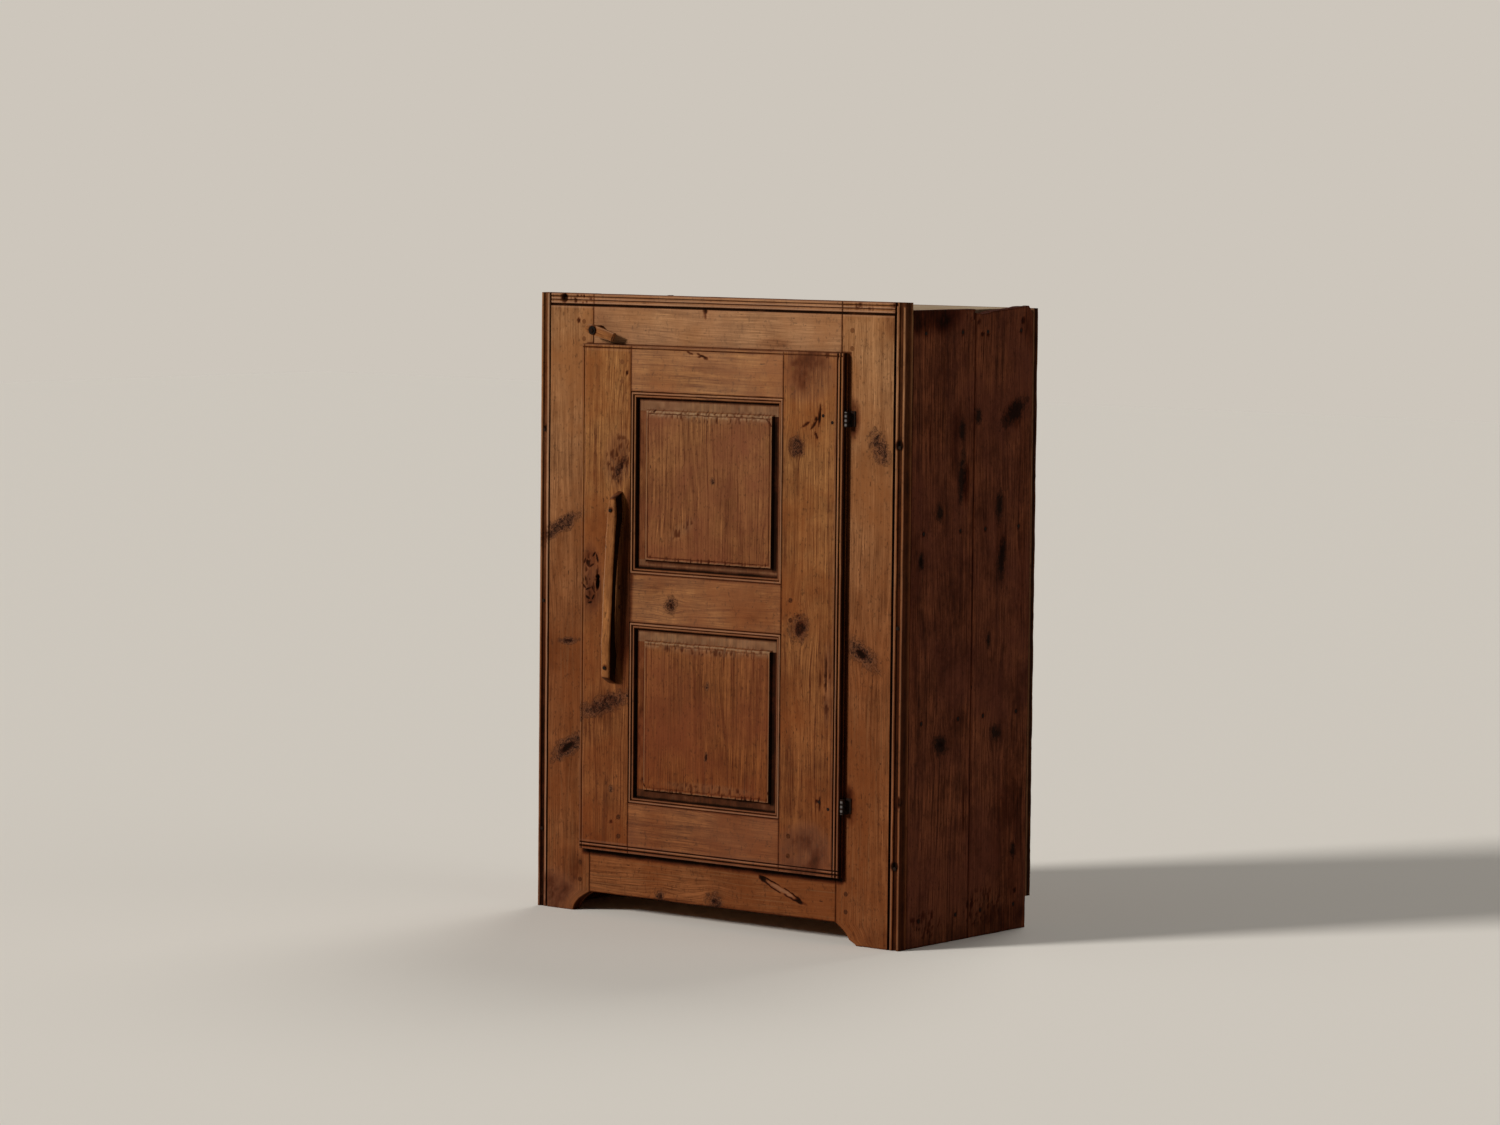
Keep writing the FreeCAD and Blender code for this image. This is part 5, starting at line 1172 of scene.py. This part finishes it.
# row runs from 0 at its round head to 1 at its cut tip
row, angle = rounds(np.linspace(0, 1, 46) ** 1.5, 32)
side, out = squared(angle, 0.5)
along = -BUTTON_HEAD + (BUTTON_HEAD + BUTTON_TIP) * row
head = np.clip((BUTTON_HEAD / 2 - along - BUTTON_HEAD) / (BUTTON_HEAD / 2), 0, 0.985)
half = BUTTON_HALF * np.sqrt(1 - head ** 2) * (1 - 0.12 * ease(0.5, 1.0, row))
half = half - 0.3 * MM * positive(7, row * 9, side * 2)
thick = BUTTON_THICK - 0.2 * MM - 1.5 * MM * ease(0.35, 1.0, row) - 0.3 * MM * positive(8, row * 8)
across = side * half
lift = thick * (1 + out) / 2
slanted = along + 1.5 * MM * side * ease(0.8, 1.0, row) - 1.2 * MM * (out > 0.6) * ease(0.93, 1, row)
button_x = PIVOT[0] + slanted * math.sin(BUTTON_REST) + across * math.cos(BUTTON_REST)
button_z = PIVOT[2] - slanted * math.cos(BUTTON_REST) + across * math.sin(BUTTON_REST)
sections = np.stack([button_x, BUTTON_BACK - lift, button_z], -1)
ringed = np.exp(-((np.hypot(across, slanted) - 6.4 * MM) / (1.0 * MM)) ** 2)
dirt = np.maximum(0.8 * ringed, 0.4 * (1 - ease(0, 2 * MM, lift)))
worn = 0.4 * np.exp(-((abs(side) - 0.93) / 0.1) ** 2) * (out > 0.4)
loft("turn_button", sections, np.stack([across + 0.7, lift, slanted], -1), dirt, worn)
print("turn button, mm long:", round((BUTTON_HEAD + BUTTON_TIP) / MM))

# %% The button's foot, sunk half a millimetre into it
FOOT_RADIUS, FOOT_GAP, FOOT_SUNK = 7 * MM, 0.3 * MM, 0.5 * MM
foot_depth = FRAME_FRONT - FOOT_GAP - BUTTON_BACK
place, angle = rounds(np.array([0, 0.02, 0.5, 0.93, 1.0]), 40)
radius = FOOT_RADIUS * np.where(place > 0.95, 0.93, 1.0) - 0.2 * MM * positive(9, angle * 2, place)
foot_y = BUTTON_BACK - FOOT_SUNK + (foot_depth + FOOT_SUNK) * place
sections = np.stack([PIVOT[0] + radius * np.cos(angle), foot_y, PIVOT[2] + radius * np.sin(angle)], -1)
loft("turn_button", sections, sections - PIVOT, 0.5 + 0 * place, 0 * place)
piece("turn_button", PULL_PINE, "button")

# %% [markdown]
# ## Iron and end grain
# Hinges and nails are wrought iron, forged, blackened in the fire and rusted a little since: a
# dark metal, dull where it rusts. The hinges' knuckles carry grey beads at their front, partly
# bare metal and partly painted glints where the key light catches them. Pegs show their end grain.
# Their solids are plain and right as they are, so the model's own pieces stay and only take a material.

# %% The iron material
# the hinges' grey is partly bare metal and partly a painted glint
GLINT_DEEP = 0.5 * MM    # how far back from its front the hinge's grey fades out


def iron(name, glint_front=None):
    """Wrought iron: near-black scale with brown rust in patches. Where a front y is given, the metal
    is grey from that y to half a millimetre nearer, in beads 6 mm apart up the knuckle: partly
    bare metal, partly a painted glint where the key light catches it."""
    material, tree, principled, node = start_material(name)
    place = node("TexCoord", output="Object")
    patch = node("TexNoise", {"Vector": place, "Scale": 260.0, "Detail": 4.0})
    rust = node("MapRange", [patch, 0.45, 0.62])
    shade = node("Mix", [rust, colour("#16100C"), colour("#22120A")], RGBA)
    # painted glint, partly bare metal: grey beads at the knuckles' front
    if glint_front:
        near = node("MapRange", [node("SeparateXYZ", [place], output="Y"), glint_front, glint_front - GLINT_DEEP])
        bead = node("Math", [node("SeparateXYZ", [place], output="Z"), 3.1 * MM],
                    {"operation": "PINGPONG"})
        bead = node("MapRange", [bead, 0.9 * MM, 2.1 * MM])
        shade = node("Mix", [node("Math", [near, bead], TIMES), shade, colour("#5E5854")], RGBA)
    dull = node("MapRange", {"Value": rust, "To Min": 0.5, "To Max": 0.85})
    bump = node("Bump", {"Strength": 0.5, "Distance": 0.3 * MM, "Height": patch})
    wire(tree, principled, {"Base Color": shade, "Roughness": dull, "Specular IOR Level": 0.03,
                            "Normal": bump})
    return material


KNUCKLE_FRONT = box_of("hinge_door_leaf_upper")[0][1]
IRON = iron("wrought iron, rusted")
HINGE_IRON = iron("wrought iron, painted glints", KNUCKLE_FRONT + 0.8 * MM)
print("the hinges' knuckles start at y, mm:", round(float(KNUCKLE_FRONT / MM), 1))


# %% The pegs' material
def end_grain(name):
    """End grain of a riven peg: fine pores, dark with dirt that the varnish has sealed in. Pegs
    high up stayed cleaner, so their colour nears the boards' own between 500 and 700 mm."""
    material, tree, principled, node = start_material(name)
    place = node("TexCoord", output="Object")
    pores = node("TexNoise", {"Vector": place, "Scale": 900.0, "Detail": 2.0})
    shade = node("Mix", [node("MapRange", [pores, 0.35, 0.65]), colour("#2A1309"), colour("#4E2A15")],
                 RGBA)
    up = node("SeparateXYZ", [place], output="Z")
    clean = node("MapRange", [up, 0.5, 0.7, 0.0, 0.6])
    shade = node("Mix", [clean, shade, colour("#74492A")], RGBA)
    bump = node("Bump", {"Strength": 0.3, "Distance": 0.2 * MM, "Height": pores})
    wire(tree, principled, {"Base Color": shade, "Roughness": 0.8, "Specular IOR Level": 0.02,
                            "Normal": bump})
    return material


PEG = end_grain("end grain of pegs")
shown = {name: node for name, node in sorted(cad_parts.items()) if not node.hide_render}
for name, node in shown.items():
    node.data.materials.clear()
    node.data.materials.append(PEG if "pegs" in name else HINGE_IRON if "_leaf_" in name else IRON)
print("model's own pieces still shown:", ", ".join(shown))

# %% [markdown]
# ## Floor, light and camera
# A plain pale floor, a large soft key light and a pale sky. The key comes from the left front, 25
# degrees up, so the mouldings on the right of the door fall into shade. A weak light from the right
# and one from behind keep the side, the top and the back readable.

# %% Floor
FLOOR_HALF = 14.0
paint, tree, principled, _ = start_material("pale floor")
wire(tree, principled, {"Base Color": colour("#DED7CC"), "Roughness": 0.85, "Specular IOR Level": 0.0})
floor_mesh = bpy.data.meshes.new("floor")
corners = np.array([(-1, -1), (1, -1), (1, 1), (-1, 1)]) * FLOOR_HALF
floor_mesh.from_pydata([(x, y, 0.0) for x, y in corners], [], [(0, 1, 2, 3)])
floor_mesh.materials.append(paint)
floor = bpy.data.objects.new("floor", floor_mesh)
bpy.context.scene.collection.objects.link(floor)
print("floor, m:", 2 * FLOOR_HALF, "square")

# %% Far soft lamps, with the azimuth counted to the left of the door's front and the angles in degrees
for name, azimuth, elevation, strength, spread in (
        ("key", 31, 25, 3.4, 11), ("fill", 48, 42, 0.12, 60), ("side_light", -104, 30, 0.3, 50),
        ("back_light", 168, 48, 0.9, 30)):
    data = bpy.data.lights.new(name, "SUN")
    data.energy, data.angle = strength, math.radians(spread)
    lamp = bpy.data.objects.new(name, data)
    lamp.rotation_euler = (math.radians(90 - elevation), 0, math.radians(-azimuth))
    bpy.context.scene.collection.objects.link(lamp)
    print(f"{name}: {strength} W/m2")

# %% Sky: weak light on the cupboard, full strength where it is seen
SKY_LIGHT, SKY_SEEN = 0.09, 1.0
world = bpy.data.worlds.new("studio")
bpy.context.scene.world = world
world.use_nodes = True
tree = world.node_tree
seen = add(tree, "LightPath", output="Is Camera Ray")
for ray in ("Is Glossy Ray", "Is Transmission Ray"):
    seen = add(tree, "Math", [seen, add(tree, "LightPath", output=ray)], {"operation": "MAXIMUM"})
sky = add(tree, "Mix", [seen, WHITE, colour("#CDC6BC")], RGBA)
strength = add(tree, "MapRange", {"Value": seen, "To Min": SKY_LIGHT, "To Max": SKY_SEEN})
wire(tree, tree.nodes["Background"], {"Color": sky, "Strength": strength})
bpy.context.scene.view_settings.view_transform = "Standard"
print("sky nodes:", len(tree.nodes))

# %% Camera
SENSOR_WIDTH, FOCAL_LENGTH = 36.0, 119.94     # mm, a long lens
CAMERA_PLACE = (4.4138, -5.6775, 1.0728)      # about 7.2 m off, to the right of the front
PITCH, YAW, ROLL = (math.radians(value) for value in (85.568, 38.175, 0.578))
camera_data = bpy.data.cameras.new("camera")
camera_data.sensor_width, camera_data.lens = SENSOR_WIDTH, FOCAL_LENGTH
camera_data.clip_end = 100.0
camera = bpy.data.objects.new("camera", camera_data)
camera.location = CAMERA_PLACE
camera.rotation_euler = (Euler((PITCH, 0, YAW)).to_matrix() @ Matrix.Rotation(ROLL, 3, "Z")).to_euler()
bpy.context.scene.collection.objects.link(camera)
bpy.context.scene.camera = camera
print("camera at, m:", tuple(round(value, 2) for value in camera.location))
